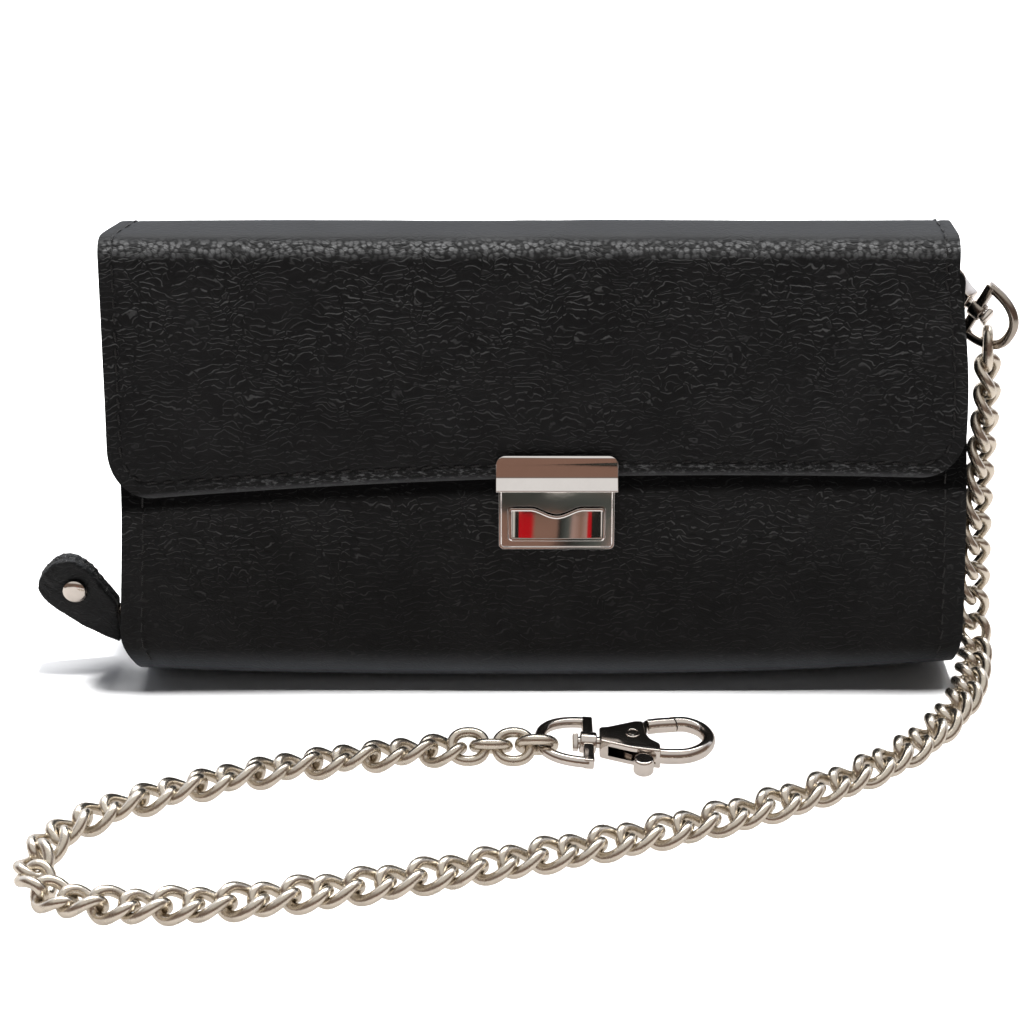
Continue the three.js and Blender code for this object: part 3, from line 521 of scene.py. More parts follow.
# the leather cover makes the front, the bottom and the back
cover = {
    "thickness": 2.0, "left": -90.5, "right": 91.1, "leftSpread": 1.8, "rightDraw": 3.7, "backDraw": 1.7,
    "frontFoot": -20.5, "backFoot": 19.4, "frontLean": 14, "backLean": 2.8, "frontFold": 6.5, "backFold": 6,
    "frontTop": 82, "backTop": 91, "footInset": 3.5, "liftRight": 3.1, "liftLeft": 1.7, "belly": 0.9,
    "grid": 1.35, "seamInset": 4.6, "seamDepth": 0.18, "dent": (2.6, 27), "dentDepth": 0.55,
    "waves": [(0.20, 0.028, 0.05, 1.7), (0.07, 0.10, 0.16, 5.2)],
}
# rows of the leather's grid lie closer together near an edge
closeRows = [0, 0.6, 1.2, 1.7, 2.1, 2.45, 2.8, 3.15, 3.5, 3.9]
coverInsets = closeRows + [4.3, 4.6, 4.9, 5.3, 5.9, 6.5]


def frontY(z):
    return cover["frontFoot"] + z * math.tan(cover["frontLean"] * degree)


def backY(z):
    return cover["backFoot"] - z * math.tan(cover["backLean"] * degree)


def acrossPlaces(insets, width, grid):
    # (side, inset) near both sides and (0, share) between them
    last = insets[-1]
    between = [(0, share) for share in steps(0, 1, grid / (width - 2 * last))][1:]
    return [(-1, i) for i in insets] + between + [(1, i) for i in reversed(insets)]


def acrossX(place, left, right, last):
    side, value = place
    if side < 0:
        return left + value
    if side > 0:
        return right - value
    return mix(left + last, right - last, value)


def coverSides(y, z):
    foot = cover["footInset"] * (1 - smooth(z, 0, 11))
    atBack = smooth(z, 40, cover["backTop"]) if y > 0 else 0
    left = cover["left"] - cover["leftSpread"] * (1 - smooth(z, 4, 46)) + foot
    drawn = cover["rightDraw"] * (z / cover["frontTop"]) ** 2 + cover["backDraw"] * atBack
    return left, cover["right"] - drawn - 0.35 * foot


def footLift(x, y, z):
    # the front fold leaves the floor towards both ends
    atEnd = cover["liftRight"] * (x / 89) ** 2.2 if x > 0 else cover["liftLeft"] * (-x / 90) ** 3
    return atEnd * smooth(-y, 1, 13) * (1 - smooth(z, 3, 24))


coverSection = Section([
    (backY(cover["backTop"]), cover["backTop"]), (cover["backFoot"], 0, cover["backFold"]),
    (cover["frontFoot"], 0, cover["frontFold"]), (frontY(cover["frontTop"]), cover["frontTop"])])


def coverRelief(x, y, z, inset, length):
    # soft unevenness of the leather, the seams' grooves, and the dent that the lock presses in
    wave = waves(cover["waves"], x, length)
    level = smooth(z, 0.5, 3)
    groove = cover["seamDepth"] * bump(inset - cover["seamInset"], 0.5)
    if y > 0:
        return (wave - groove) * level
    dent = cover["dentDepth"] * bump(x - cover["dent"][0], 17) * bump(z - cover["dent"][1], 5.5)
    return (wave - groove) * level - dent


def coverPlace(length, place):
    # a place of the outer face and its normal, length along the section from the back's top
    y, z = coverSection.at(length)
    ahead, behind = coverSection.at(length + 0.3), coverSection.at(length - 0.3)
    tangent = (ahead - behind).normalized()
    left, right = coverSides(y, z)
    x = acrossX(place, left, right, coverInsets[-1])
    inset = min(x - left, right - x)
    centred = (x - (left + right) / 2) / (right - left) * 2
    belly = cover["belly"] * (1 - centred ** 2) * smooth(z, 2, 12) * (1 - smooth(z, 14, 29)) if y < 0 else 0
    out = coverRelief(x, y, z, inset, length)
    normal = Vector((0, tangent.y, -tangent.x))
    point = Vector((x, y - belly, z)) + normal * out
    point.z = max(point.z, 0) if z < 3 else point.z
    lift = footLift(x, y, z)
    return point + Vector((0, lift * math.tan(cover["frontLean"] * degree), lift)), normal


def makeCover():
    across = acrossPlaces(coverInsets, cover["right"] - cover["left"], cover["grid"])
    along = [0, 0.6, 1.2] + steps(2, coverSection.total - 2, cover["grid"]) + [
        coverSection.total - back for back in (2, 1.2, 0.6, 0)]
    sheet = sheetOf(len(along), len(across), lambda r, c: coverPlace(along[r], across[c])[0])
    applied(sheet, "SOLIDIFY", thickness=cover["thickness"], offset=-1, use_even_offset=True)
    rounded(sheet, 0.5, 3, 60)
    return sheet


finishPiece(makeCover(), "coverSheet", panelLeather, ["outer_cover"])


def coverSeam(side, start, end):
    places, normals = [], []
    for length in steps(start, end, 1.0) + [end]:
        place, normal = coverPlace(length, (side, cover["seamInset"]))
        places.append(place + normal * cover["seamDepth"])
        normals.append(normal)
    return sewRow(places, normals)


# at each side one seam runs down the back and one up the front, both clear of the floor
coverSeams = joined([
    coverSeam(side, *ends) for side in (-1, 1) for ends in ((3, 84), (128, coverSection.total - 3))])
finishPiece(coverSeams, "coverStitches", blackThread)
print("cover made")


# the flap runs over the top and down the front
flap = {
    "thickness": 2.0, "left": -92.4, "rightTop": 85.4, "right": 88.7, "standOff": 2.6, "topHeight": 96.6,
    "frontBend": 5, "backBend": 6, "backEnd": 77, "cornerRadius": 9.5, "topInset": 3.6, "flare": 1.1,
    "bendStart": 8, "fall": 40.7, "seamInset": 2.8, "grooveDepth": 0.26, "holeDepth": 0.30, "grid": 1.3,
    "gap": 0.3, "waves": [(0.17, 0.030, 0.05, 9.3), (0.06, 0.11, 0.15, 2.2)],
}
flapInsets = closeRows + [4.5, 5.3, 6.3, 7.4, 8.5, flap["cornerRadius"]]


def flapFrontY(z):
    return frontY(z) - flap["standOff"]


def flapEdge(x):
    return edgeArch["middle"] + edgeArch["slope"] * x + edgeArch["sag"] * x * x


def cornered(inset, above, radius):
    # moves a place near a square corner so that lines along the edge run round the corner
    a, b = radius - inset, radius - above
    if a <= 0 or b <= 0:
        return inset, above
    reach = max(a, b)
    angle = math.pi / 4 * min(a, b) / reach
    if b > a:
        angle = math.pi / 2 - angle
    return radius - reach * math.cos(angle), radius - reach * math.sin(angle)


topZ = flap["topHeight"]
flapBack = backY(flap["backEnd"]) + flap["gap"] + flap["thickness"]
flapSection = Section([
    (flapFrontY(topZ - flap["bendStart"]), topZ - flap["bendStart"]),
    (flapFrontY(topZ), topZ, flap["frontBend"]),
    (backY(topZ) + flap["gap"] + flap["thickness"], topZ, flap["backBend"]),
    (flapBack, flap["backEnd"])])


def flapRelief(x, along, inset, above):
    # unevenness, the seam's groove with its needle holes, and the puckers that the thread draws
    wave = waves(flap["waves"], x, along)
    fromEdge = min(inset, above)
    travel = x if above < inset else along
    hole = abs((travel / stitch["pitch"]) % 1 - 0.5) * stitch["pitch"]
    groove = flap["grooveDepth"] * bump(fromEdge - flap["seamInset"], 0.45)
    pierced = flap["holeDepth"] * bump(fromEdge - flap["seamInset"], 0.5) * bump(hole, 0.6)
    pucker = 0.11 * bump(fromEdge - 1.7, 0.8) * (1 - 2 * bump(hole, 0.8))
    pucker += 0.10 * bump(fromEdge - 1.9, 1.0) * noise.noise(Vector((travel * 0.9, fromEdge, 4.0)))
    if above > inset:
        groove, pierced, pucker = groove * 0.8, pierced * 0.4, pucker * 0.3
    return wave + pucker - groove - pierced


def flapPlace(along, place):
    # along is measured from the lower edge, up the front, over the top and down the back
    fall = flap["fall"]
    if along < fall:
        radius = flap["cornerRadius"]
        side, value = place
        inset, above = value, along
        if side and value < radius and along < radius:
            inset, above = cornered(value, along, radius)
        risen = above / fall
        widened = 1 - (1 - min((1 - risen) / 0.7, 1)) ** 2
        right = mix(flap["rightTop"], flap["right"], widened)
        x = acrossX((side, inset), flap["left"], right, flapInsets[-1])
        z = mix(flapEdge(x), topZ - flap["bendStart"], risen)
        y = flapFrontY(z) - flap["flare"] * (1 - risen) ** 2 * (x / flap["right"]) ** 2
        normal = Vector((0, -math.cos(cover["frontLean"] * degree), math.sin(cover["frontLean"] * degree)))
        squareInset = min(x - flap["left"], right - x) if side == 0 else value
        out = flapRelief(x, along, squareInset, along)
        return Vector((x, y, z)) + normal * out, normal
    length = along - fall
    y, z = flapSection.at(length)
    tangent = (flapSection.at(length + 0.2) - flapSection.at(length - 0.2)).normalized()
    normal = Vector((0, -tangent.y, tangent.x))
    over = smooth(y, flapFrontY(topZ) + 1, backY(90))
    left = flap["left"] + flap["topInset"] * over
    x = acrossX(place, left, flap["rightTop"] - 0.4 * over, flapInsets[-1])
    inset = min(x - left, flap["rightTop"] - x)
    return Vector((x, y, z)) + normal * flapRelief(x, along, inset, 99), normal


flapLength = flap["fall"] + flapSection.total


def makeFlap():
    across = acrossPlaces(flapInsets, flap["right"] - flap["left"], flap["grid"])
    along = flapInsets + steps(10.7, flap["fall"] - 0.5, flap["grid"]) + steps(
        flap["fall"], flapLength - 2, 0.9) + [flapLength - back for back in (2, 1.2, 0.6, 0)]
    sheet = sheetOf(len(along), len(across), lambda r, c: flapPlace(along[r], across[c])[0])
    applied(sheet, "SOLIDIFY", thickness=flap["thickness"], offset=-1, use_even_offset=True)
    rounded(sheet, 0.5, 3, 60)
    return sheet


finishPiece(makeFlap(), "flapSheet", flapLeather, ["flap"])


def flapSeamLine(keys):
    places, normals = [], []
    for along, place in keys:
        point, normal = flapPlace(along, place)
        places.append(point + normal * flap["grooveDepth"] * 0.7)
        normals.append(normal)
    return sewRow(places, normals)


seam = flap["seamInset"]
sideKeys = [[(along, (side, seam)) for along in steps(seam, flapLength - 3, 0.8)] for side in (-1, 1)]
radius = flap["cornerRadius"]
edgeKeys = [(seam, (-1, i)) for i in steps(seam, radius, 0.6)]
edgeKeys += [(seam, (0, share)) for share in steps(0, 1, 0.005)]
edgeKeys += [(seam, (1, i)) for i in steps(radius, seam, 0.6)]
backKeys = [(flapLength - seam, (0, share)) for share in steps(0, 1, 0.01)]
flapSeams = joined([flapSeamLine(keys) for keys in (*sideKeys, edgeKeys, backKeys)])
finishPiece(flapSeams, "flapStitches", blackThread)
print("flap made")


# the zipped case leans behind the front panel
zipCase = {
    "left": -90.2, "right": 88, "depth": 7, "height": 84.4, "lean": 11.9, "cornerRadius": 3, "wall": 1.2,
    "place": (0, -9.77, 5.4), "grid": 3.0, "waves": [(0.10, 0.05, 0.06, 12.0)],
}
zipper = {
    "bandThickness": 1, "inset": 1.6, "start": 3, "toothPitch": 2.3, "toothLength": 1.3, "toothWidth": 1.1,
    "toothHeight": 1.0, "sliderHeight": 8, "slider": (1.6, 4.4, 8),
    "bandRows": [-1.9, -1.4, -0.7, -0.25, 0.25, 0.7, 1.4, 1.9],
}
caseFrame = Matrix.Translation(zipCase["place"]) @ Matrix.Rotation(-zipCase["lean"] * degree, 4, "X")
halfCase = zipCase["depth"] / 2
caseSection = Section([
    (halfCase, zipCase["height"]), (halfCase, 0, halfCase - 0.02), (-halfCase, 0, halfCase - 0.02),
    (-halfCase, zipCase["height"])])


def makeCase():
    radius = zipCase["cornerRadius"]
    insets = [0, 0.4, 0.9, 1.5, 2.2, radius]
    across = acrossPlaces(insets, zipCase["right"] - zipCase["left"], zipCase["grid"])
    total = caseSection.total
    along = insets + steps(5, total - 5, zipCase["grid"]) + [total - i for i in reversed(insets)]

    def place(r, c):
        side, value = across[c]
        fromEnd = min(along[r], total - along[r])
        inset, above = value, fromEnd
        if side and fromEnd < radius:
            inset, above = cornered(value, fromEnd, radius)
        length = above if along[r] < total / 2 else total - above
        y, z = caseSection.at(length)
        x = acrossX((side, inset), zipCase["left"], zipCase["right"], insets[-1])
        wave = waves(zipCase["waves"], x, length)
        return Vector((x, y + wave * (1 if y > 0 else -1), z))

    sheet = sheetOf(len(along), len(across), place)
    applied(sheet, "SOLIDIFY", thickness=zipCase["wall"], offset=-1, use_even_offset=True)
    rounded(sheet, 0.35, 2, 60)
    return sheet


finishPiece(makeCase(), "caseShell", innerLeather, ["zip_case"], place=caseFrame)


def zipLine(outset):
    left = zipCase["left"] + zipper["inset"] - outset
    right = zipCase["right"] - zipper["inset"] + outset
    top = zipCase["height"] - zipper["inset"] + outset
    radius = zipCase["cornerRadius"] - zipper["inset"] + outset
    start = zipper["start"]
    return Section([(left, start), (left, top, radius), (right, top, radius), (right, start)])


def makeTape():
    line = zipLine(0)
    along = steps(0, line.total, 1.6) + [line.total]
    width = zipper["bandRows"]

    def place(r, c):
        x, z = line.at(along[r])
        ahead = (line.at(along[r] + 0.2) - line.at(along[r] - 0.2)).normalized()
        rise = 0.25 * bump(width[c], 0.6)
        return Vector((x - ahead.y * rise, width[c], z + ahead.x * rise))

    tape = sheetOf(len(along), len(width), place)
    applied(tape, "SOLIDIFY", thickness=zipper["bandThickness"] - 0.2, offset=1, use_even_offset=True)
    tidy(tape)
    rounded(tape, 0.15, 2, 60)
    return tape


def makeTeeth():
    bpy.ops.mesh.primitive_cube_add(size=1)
    tooth = bpy.context.object
    tooth.scale = (zipper["toothHeight"], zipper["toothWidth"] * 1.5, zipper["toothLength"])
    bpy.ops.object.transform_apply(scale=True)
    edit(tooth)
    choose(tooth, "FACE", lambda face: face.normal.y > 0.9)
    bpy.ops.mesh.extrude_region_move(TRANSFORM_OT_translate={"value": (0, 0.4, 0)})
    bpy.ops.transform.resize(value=(0.8, 1, 0.7))
    bpy.ops.object.mode_set(mode="OBJECT")
    line = zipLine(zipper["bandThickness"] + 0.45)
    made = []
    count = int((line.total - 14) / zipper["toothPitch"] * 2)
    for i in range(count):
        length = 10 + i * zipper["toothPitch"] / 2
        x, z = line.at(length)
        ahead = (line.at(length + 0.2) - line.at(length - 0.2)).normalized()
        side = 1 if i % 2 else -1
        along = Vector((ahead.x, 0, ahead.y))
        out = Vector((-ahead.y, 0, ahead.x))
        across = along.cross(out).normalized() * side
        basis = frameMatrix(out, across, out.cross(across), Vector((x, 0, z)) - across * 0.35)
        made.append(copied(tooth, basis))
    bpy.data.objects.remove(tooth)
    return joined(made)


finishPiece(makeTape(), "zipTape", zipCloth, ["zip_tape"], place=caseFrame)
finishPiece(makeTeeth(), "zipTeeth", snapNickel, place=caseFrame)


def makeSlider():
    crest = zipCase["left"] + zipper["inset"] - zipper["bandThickness"] - 1.4       # clear of the teeth
    middle = (crest - zipper["slider"][0] / 2, 0, zipper["sliderHeight"])
    bpy.ops.mesh.primitive_cube_add(size=1, location=middle, scale=zipper["slider"])
    slider = bpy.context.object
    bpy.ops.object.transform_apply(location=True, scale=True)
    edit(slider)
    choose(slider, "EDGE", lambda side: abs(side.verts[0].co.x - side.verts[1].co.x) > 1)
    bpy.ops.mesh.bevel(offset=1.3, segments=4, affect="EDGES")
    choose(slider, "FACE", lambda face: face.normal.x < -0.9)
    bpy.ops.mesh.inset(thickness=0.5)
    bpy.ops.transform.translate(value=(-0.15, 0, 0))
    bpy.ops.object.mode_set(mode="OBJECT")
    bpy.ops.mesh.primitive_torus_add(
        major_segments=24, minor_segments=8, major_radius=1.5, minor_radius=0.42,
        location=(crest - 1.5, 0, zipper["sliderHeight"]), rotation=(math.pi / 2, 0, 0))
    eye = bpy.context.object
    bpy.ops.object.transform_apply(location=True, rotation=True)
    rounded(slider, 0.15, 2)
    return joined([slider, eye])


finishPiece(makeSlider(), "zipSlider", snapNickel, ["zip_slider"], place=caseFrame)
print("zipped case made")


# folded sides
gusset = {"halfWidth": 12.6, "foot": 9, "top": 76, "inset": 2.2, "edgeGap": 1.6, "wall": 1.2}
pocketSide = {"foot": 12, "top": 58, "inset": 4.6, "wall": 1.2, "frontGap": 0.45, "backGap": 0.3}


def caseFaceY(side, z):
    lean = zipCase["lean"] * degree
    middle = zipCase["place"][1] + (z - zipCase["place"][2]) * math.tan(lean)
    return middle + side * halfCase / math.cos(lean)


def makeGusset(side):
    rows, columns = 28, 25

    def place(r, c):
        z = mix(gusset["foot"], gusset["top"], r / (rows - 1))
        front = caseFaceY(1, z) + gusset["edgeGap"]
        back = backY(z) - cover["thickness"] - gusset["edgeGap"]
        depth = math.sqrt(gusset["halfWidth"] ** 2 - ((back - front) / 2) ** 2)
        left, right = coverSides(1, z)
        edge = left + gusset["inset"] if side < 0 else right - gusset["inset"]
        share = c / (columns - 1)
        fold = 1 - abs(2 * share - 1)
        fold -= 0.06 * bump(share - 0.5, 0.06)
        return Vector((edge - side * depth * fold, mix(front, back, share), z))

    sheet = sheetOf(rows, columns, place)
    applied(sheet, "SOLIDIFY", thickness=gusset["wall"], offset=0, use_even_offset=True)
    tidy(sheet)
    rounded(sheet, 0.3, 2, 60)
    return sheet


def makePocketSide(side):
    rows, columns = 20, 4
    edge = (cover["left"] if side < 0 else cover["right"]) - side * pocketSide["inset"]
    panel = cover["thickness"] / math.cos(cover["frontLean"] * degree)

    def place(r, c):
        z = mix(pocketSide["foot"], pocketSide["top"], r / (rows - 1))
        front = frontY(z) + panel + pocketSide["frontGap"]
        back = caseFaceY(-1, z) - pocketSide["backGap"]
        return Vector((edge, mix(front, back, c / (columns - 1)), z))

    sheet = sheetOf(rows, columns, place)
    applied(sheet, "SOLIDIFY", thickness=pocketSide["wall"], offset=0)
    tidy(sheet)
    rounded(sheet, 0.25, 2, 60)
    return sheet


for side, word in ((-1, "left"), (1, "right")):
    finishPiece(makeGusset(side), word + "Gusset", innerLeather, ["gusset_" + word])
    finishPiece(makePocketSide(side), word + "PocketSide", innerLeather,
                ["pocket_side_" + word])
print("sides made")


# leather pull with its rivet
pull = {
    "y": -7.4, "thickness": 4.2, "middle": (-102.5, 16.5), "rivet": (-102.9, 18.8), "rivetRadius": 2.75,
    "rivetHead": 0.95, "waist": 0.955, "ragged": (0.28, 0.14), "press": 0.45, "fibres": 420,
    "outline": [(-94.1, 5.4), (-97.4, 6.9), (-101.4, 9.2), (-105.3, 12.1), (-109, 15.3), (-110.8, 18.4),
                (-110.6, 21.4), (-108.6, 24), (-106.3, 25.7), (-104.2, 26.2), (-101.8, 25.5), (-99.3, 23.4),
                (-96.8, 19.2), (-94.1, 15.2)],
}


class Route:
    # A smooth line through points, walked by its length
    def __init__(self, points, divisions=2000):
        self.points = [Vector(p) for p in points]
        self.marks = [self.place(i / divisions) for i in range(divisions + 1)]
        self.lengths = [0.0]
        for a, b in zip(self.marks, self.marks[1:]):
            self.lengths.append(self.lengths[-1] + (b - a).length)
        self.total = self.lengths[-1]

    def place(self, t):
        last = len(self.points) - 1
        where = t * last
        i = min(int(where), last - 1)
        w = where - i
        p1, p2 = self.points[i], self.points[i + 1]
        p0 = self.points[i - 1] if i > 0 else 2 * p1 - p2
        p3 = self.points[i + 2] if i + 2 <= last else 2 * p2 - p1
        d0, d1, d2 = [(b - a).length ** 0.5 for a, b in ((p0, p1), (p1, p2), (p2, p3))]
        leave = ((p1 - p0) / d0 - (p2 - p0) / (d0 + d1) + (p2 - p1) / d1) * d1
        arrive = ((p2 - p1) / d1 - (p3 - p1) / (d1 + d2) + (p3 - p2) / d2) * d1
        return (p1 + leave * w + (-3 * p1 + 3 * p2 - 2 * leave - arrive) * w * w
                + (2 * p1 - 2 * p2 + leave + arrive) * w * w * w)

    def share(self, u):
        # the curve's own measure at a share of its length
        target = u * self.total
        low, high = 0, len(self.lengths) - 1
        while high - low > 1:
            middle = (low + high) // 2
            if self.lengths[middle] <= target:
                low = middle
            else:
                high = middle
        span = self.lengths[high] - self.lengths[low]
        return (low + (target - self.lengths[low]) / span) / (len(self.lengths) - 1)

    def at(self, u):
        return self.place(self.share(u))

    def along(self, u):
        t = self.share(u)
        return (self.place(min(t + 0.0001, 1)) - self.place(max(t - 0.0001, 0))).normalized()

    def samples(self, count):
        return [self.at(i / (count - 1)) for i in range(count)]


def traced(points):
    # an outline drawn corner by corner on the ground plane and filled
    corners = [Vector((p[0], p[1], 0)) for p in points]
    bpy.ops.mesh.primitive_plane_add(size=1)
    outline = bpy.context.object
    edit(outline)
    bpy.ops.mesh.merge(type="CENTER")
    bpy.ops.transform.translate(value=corners[0])
    for before, after in zip(corners, corners[1:]):
        bpy.ops.mesh.extrude_vertices_move(TRANSFORM_OT_translate={"value": after - before})
    bpy.ops.mesh.select_all(action="SELECT")
    bpy.ops.mesh.edge_face_add()
    return outline


def prism(points, low, high):
    outline = traced(points)
    bpy.ops.transform.translate(value=(0, 0, low))
    bpy.ops.mesh.extrude_region_move(TRANSFORM_OT_translate={"value": (0, 0, high - low)})
    bpy.ops.object.mode_set(mode="OBJECT")
    tidy(outline)
    return outline


def makePull():
    half = pull["thickness"] / 2
    line = Route([(x, z, 0) for x, z in pull["outline"]], 600)
    rim = [(p.x, p.y) for p in line.samples(64)]
    last, first = Vector(pull["outline"][-1]), Vector(pull["outline"][0])
    rim += [tuple(last.lerp(first, i / 8)) for i in range(1, 8)]
    strap = traced(rim)
    bpy.ops.transform.translate(value=(0, 0, -half))
    middle = Vector((*pull["middle"], 0))
    # the two layers of the folded strap meet in a groove round its edge
    inwards, outwards = pull["waist"], 1 / pull["waist"]
    for rise, grow in ((0.5, 1), (1.1, 1), (0.35, inwards), (0.3, 1), (0.35, outwards), (1.1, 1), (0.5, 1)):
        bpy.ops.mesh.extrude_region_move(TRANSFORM_OT_translate={"value": (0, 0, rise)})
        if grow != 1:
            bpy.ops.transform.resize(value=(grow, grow, 1), center_override=middle)
    bpy.ops.object.mode_set(mode="OBJECT")
    tidy(strap)
    applied(strap, "REMESH", mode="VOXEL", voxel_size=0.32)
    applied(strap, "SMOOTH", factor=0.5, iterations=4)
    rivet = Vector((*pull["rivet"], 0))
    coarse, fine = pull["ragged"]
    for corner in strap.data.vertices:
        flat = Vector((corner.co.x, corner.co.y, 0))
        face = 1 if corner.co.z > 0 else -1
        nearFace = smooth(abs(corner.co.z), 0.6, half)
        ragged = noise.noise(corner.co * 0.9) * coarse + noise.noise(corner.co * 2.3) * fine
        corner.co += (flat - middle).normalized() * ragged * (0.35 + smooth(corner.co.y, 14, 24)) * 0.8
        wrinkle = noise.noise(Vector((corner.co.x * 0.9 + corner.co.y * 0.5, corner.co.y * 0.25, 3)))
        corner.co.z += 0.35 * wrinkle * smooth(-corner.co.x, 105.5, 110) * nearFace * face
        face = 1 if corner.co.z > 0 else -1
        corner.co.z -= pull["press"] * bump((flat - rivet).length, 3.6) * nearFace * face
        corner.co.z += 0.25 * noise.noise(Vector((corner.co.x * 0.2, corner.co.y * 0.2, 7))) * nearFace
    return strap


facingFront = Matrix(((1, 0, 0, 0), (0, 0, -1, 0), (0, 1, 0, 0), (0, 0, 0, 1)))     # x, height, outwards
pullPlace = Matrix.Translation((0, pull["y"], 0)) @ facingFront
finishPiece(makePull(), "pullStrap", pullLeather, ["pull_tab"], place=pullPlace, smoothAngle=70)


def makeFibres():
    # loose suede fibres that stand up along the pull's cut upper edge
    line = Route([(x, z, 0) for x, z in pull["outline"]], 600)
    middle = Vector((*pull["middle"], 0))
    bpy.ops.mesh.primitive_cone_add(vertices=3, radius1=0.05, radius2=0.012, depth=0.8, location=(0, 0, 0.4))
    fibre = bpy.context.object
    bpy.ops.object.transform_apply(location=True)
    made = []
    for _ in range(pull["fibres"]):
        u = dice.uniform(0.42, 0.985) if dice.random() < 0.85 else dice.uniform(0.05, 0.4)
        place = line.at(u)
        along = line.along(u)
        out = Vector((along.y, -along.x, 0))
        if out.dot(place - middle) < 0:
            out = -out
        astray = Vector((dice.uniform(-0.8, 0.8), dice.uniform(-0.8, 0.8), dice.uniform(-0.9, 0.9)))
        turn = (out + astray).normalized().to_track_quat("Z", "Y").to_matrix().to_4x4()
        root = place - out * 0.35 + Vector((0, 0, dice.uniform(-1.8, 1.8)))
        made.append(copied(fibre, Matrix.Translation(root) @ turn @ Matrix.Scale(dice.uniform(0.5, 1.25), 4)))
    bpy.data.objects.remove(fibre)
    return joined(made)


finishPiece(makeFibres(), "pullFibres", pullSuede, place=pullPlace)


def makePullRivet():
    front = pull["thickness"] / 2 + 0.3
    radius, head = pull["rivetRadius"], pull["rivetHead"]
    # shares of the radius, and heights: dome, shank and flat back
    profile = [(0, front + head), (0.4, front + head * 0.985), (0.75, front + head * 0.82),
               (0.93, front + head * 0.5), (1.0, front + 0.2), (0.97, front), (0.45, front - 0.02),
               (0.44, -front), (0.9, -front - 0.02), (0.93, -front - 0.25), (0.8, -front - 0.5),
               (0, -front - 0.55)]
    bpy.ops.mesh.primitive_plane_add(size=1)
    rivet = bpy.context.object
    edit(rivet)
    bpy.ops.mesh.merge(type="CENTER")
    bpy.ops.transform.translate(value=(0, 0, profile[0][1]))
    here = Vector((0, 0, profile[0][1]))
    for share, height in profile[1:]:
        there = Vector((share * radius, 0, height))
        bpy.ops.mesh.extrude_vertices_move(TRANSFORM_OT_translate={"value": there - here})
        here = there
    bpy.ops.mesh.select_all(action="SELECT")
    bpy.ops.mesh.spin(steps=40, angle=2 * math.pi, center=(0, 0, 0), axis=(0, 0, 1))
    bpy.ops.object.mode_set(mode="OBJECT")
    tidy(rivet)
    rounded(rivet, 0.08, 2, 25)
    return rivet


rivetPlace = pullPlace @ Matrix.Translation((*pull["rivet"], 0))
finishPiece(makePullRivet(), "pullRivet", snapNickel, ["pull_rivet"], place=rivetPlace,
            smoothAngle=50)
print("pull made")


# push lock
lock = {
    "x": 2.5, "foot": 31.9, "seat": 0.3, "face": 2.5, "width": 24.6, "baseTop": 15.4, "corner": 1.1,
    "plateWidth": 25.8, "plateFrom": 13.35, "plateTo": 20.8, "plateBack": 2.86, "plateThickness": 1.3,
    "lip": 1.5, "plateCorner": 2.0, "tongueWidth": 4.4, "tongueAt": 12.8, "tongueHeight": 1.5,
    "buttonWidth": 20.4, "buttonFoot": 2.0, "buttonHeight": 7.2, "dip": 1.7, "dipWidth": 11.4,
    "buttonFront": 3.4, "buttonBack": 2.0, "rim": 0.62, "dish": 0.55,
}
lockFrame = Matrix.Translation((lock["x"], frontY(lock["foot"]), lock["foot"])) @ Matrix.Rotation(
    -cover["frontLean"] * degree, 4, "X") @ facingFront


def block(low, high):
    # a cube between two corners
    size = [b - a for a, b in zip(low, high)]
    bpy.ops.mesh.primitive_cube_add(size=1, location=[(a + b) / 2 for a, b in zip(low, high)], scale=size)
    bpy.ops.object.transform_apply(location=True, scale=True)
    return bpy.context.object


def upright(side):
    a, b = side.verts
    return abs(a.co.z - b.co.z) > 0.2 and (a.co - b.co).xy.length < 0.01


def roundCorners(obj, radius, segments, test=upright):
    edit(obj)
    choose(obj, "EDGE", test)
    bpy.ops.mesh.bevel(offset=radius, segments=segments, affect="EDGES")
    bpy.ops.object.mode_set(mode="OBJECT")


def buttonDip(x):
    return lock["dip"] * (0.5 + 0.5 * math.cos(math.pi * min(abs(x) * 2 / lock["dipWidth"], 1)))


def buttonBlock(grow, low, high):
    half = lock["buttonWidth"] / 2 + grow
    top = lock["buttonFoot"] + lock["buttonHeight"] + grow
    body = block((-half, lock["buttonFoot"] - grow, low), (half, top, high))
    roundCorners(body, 0.7 + grow, 4)
    edit(body)
    choose(body, "EDGE", lambda side: all(abs(v.co.y - top) < 0.01 for v in side.verts)
           and abs(side.verts[0].co.x - side.verts[1].co.x) > 2)
    bpy.ops.mesh.subdivide(number_cuts=40)
    bpy.ops.object.mode_set(mode="OBJECT")
    for corner in body.data.vertices:
        if abs(corner.co.y - top) < 0.01:
            corner.co.y -= buttonDip(corner.co.x)
    return body


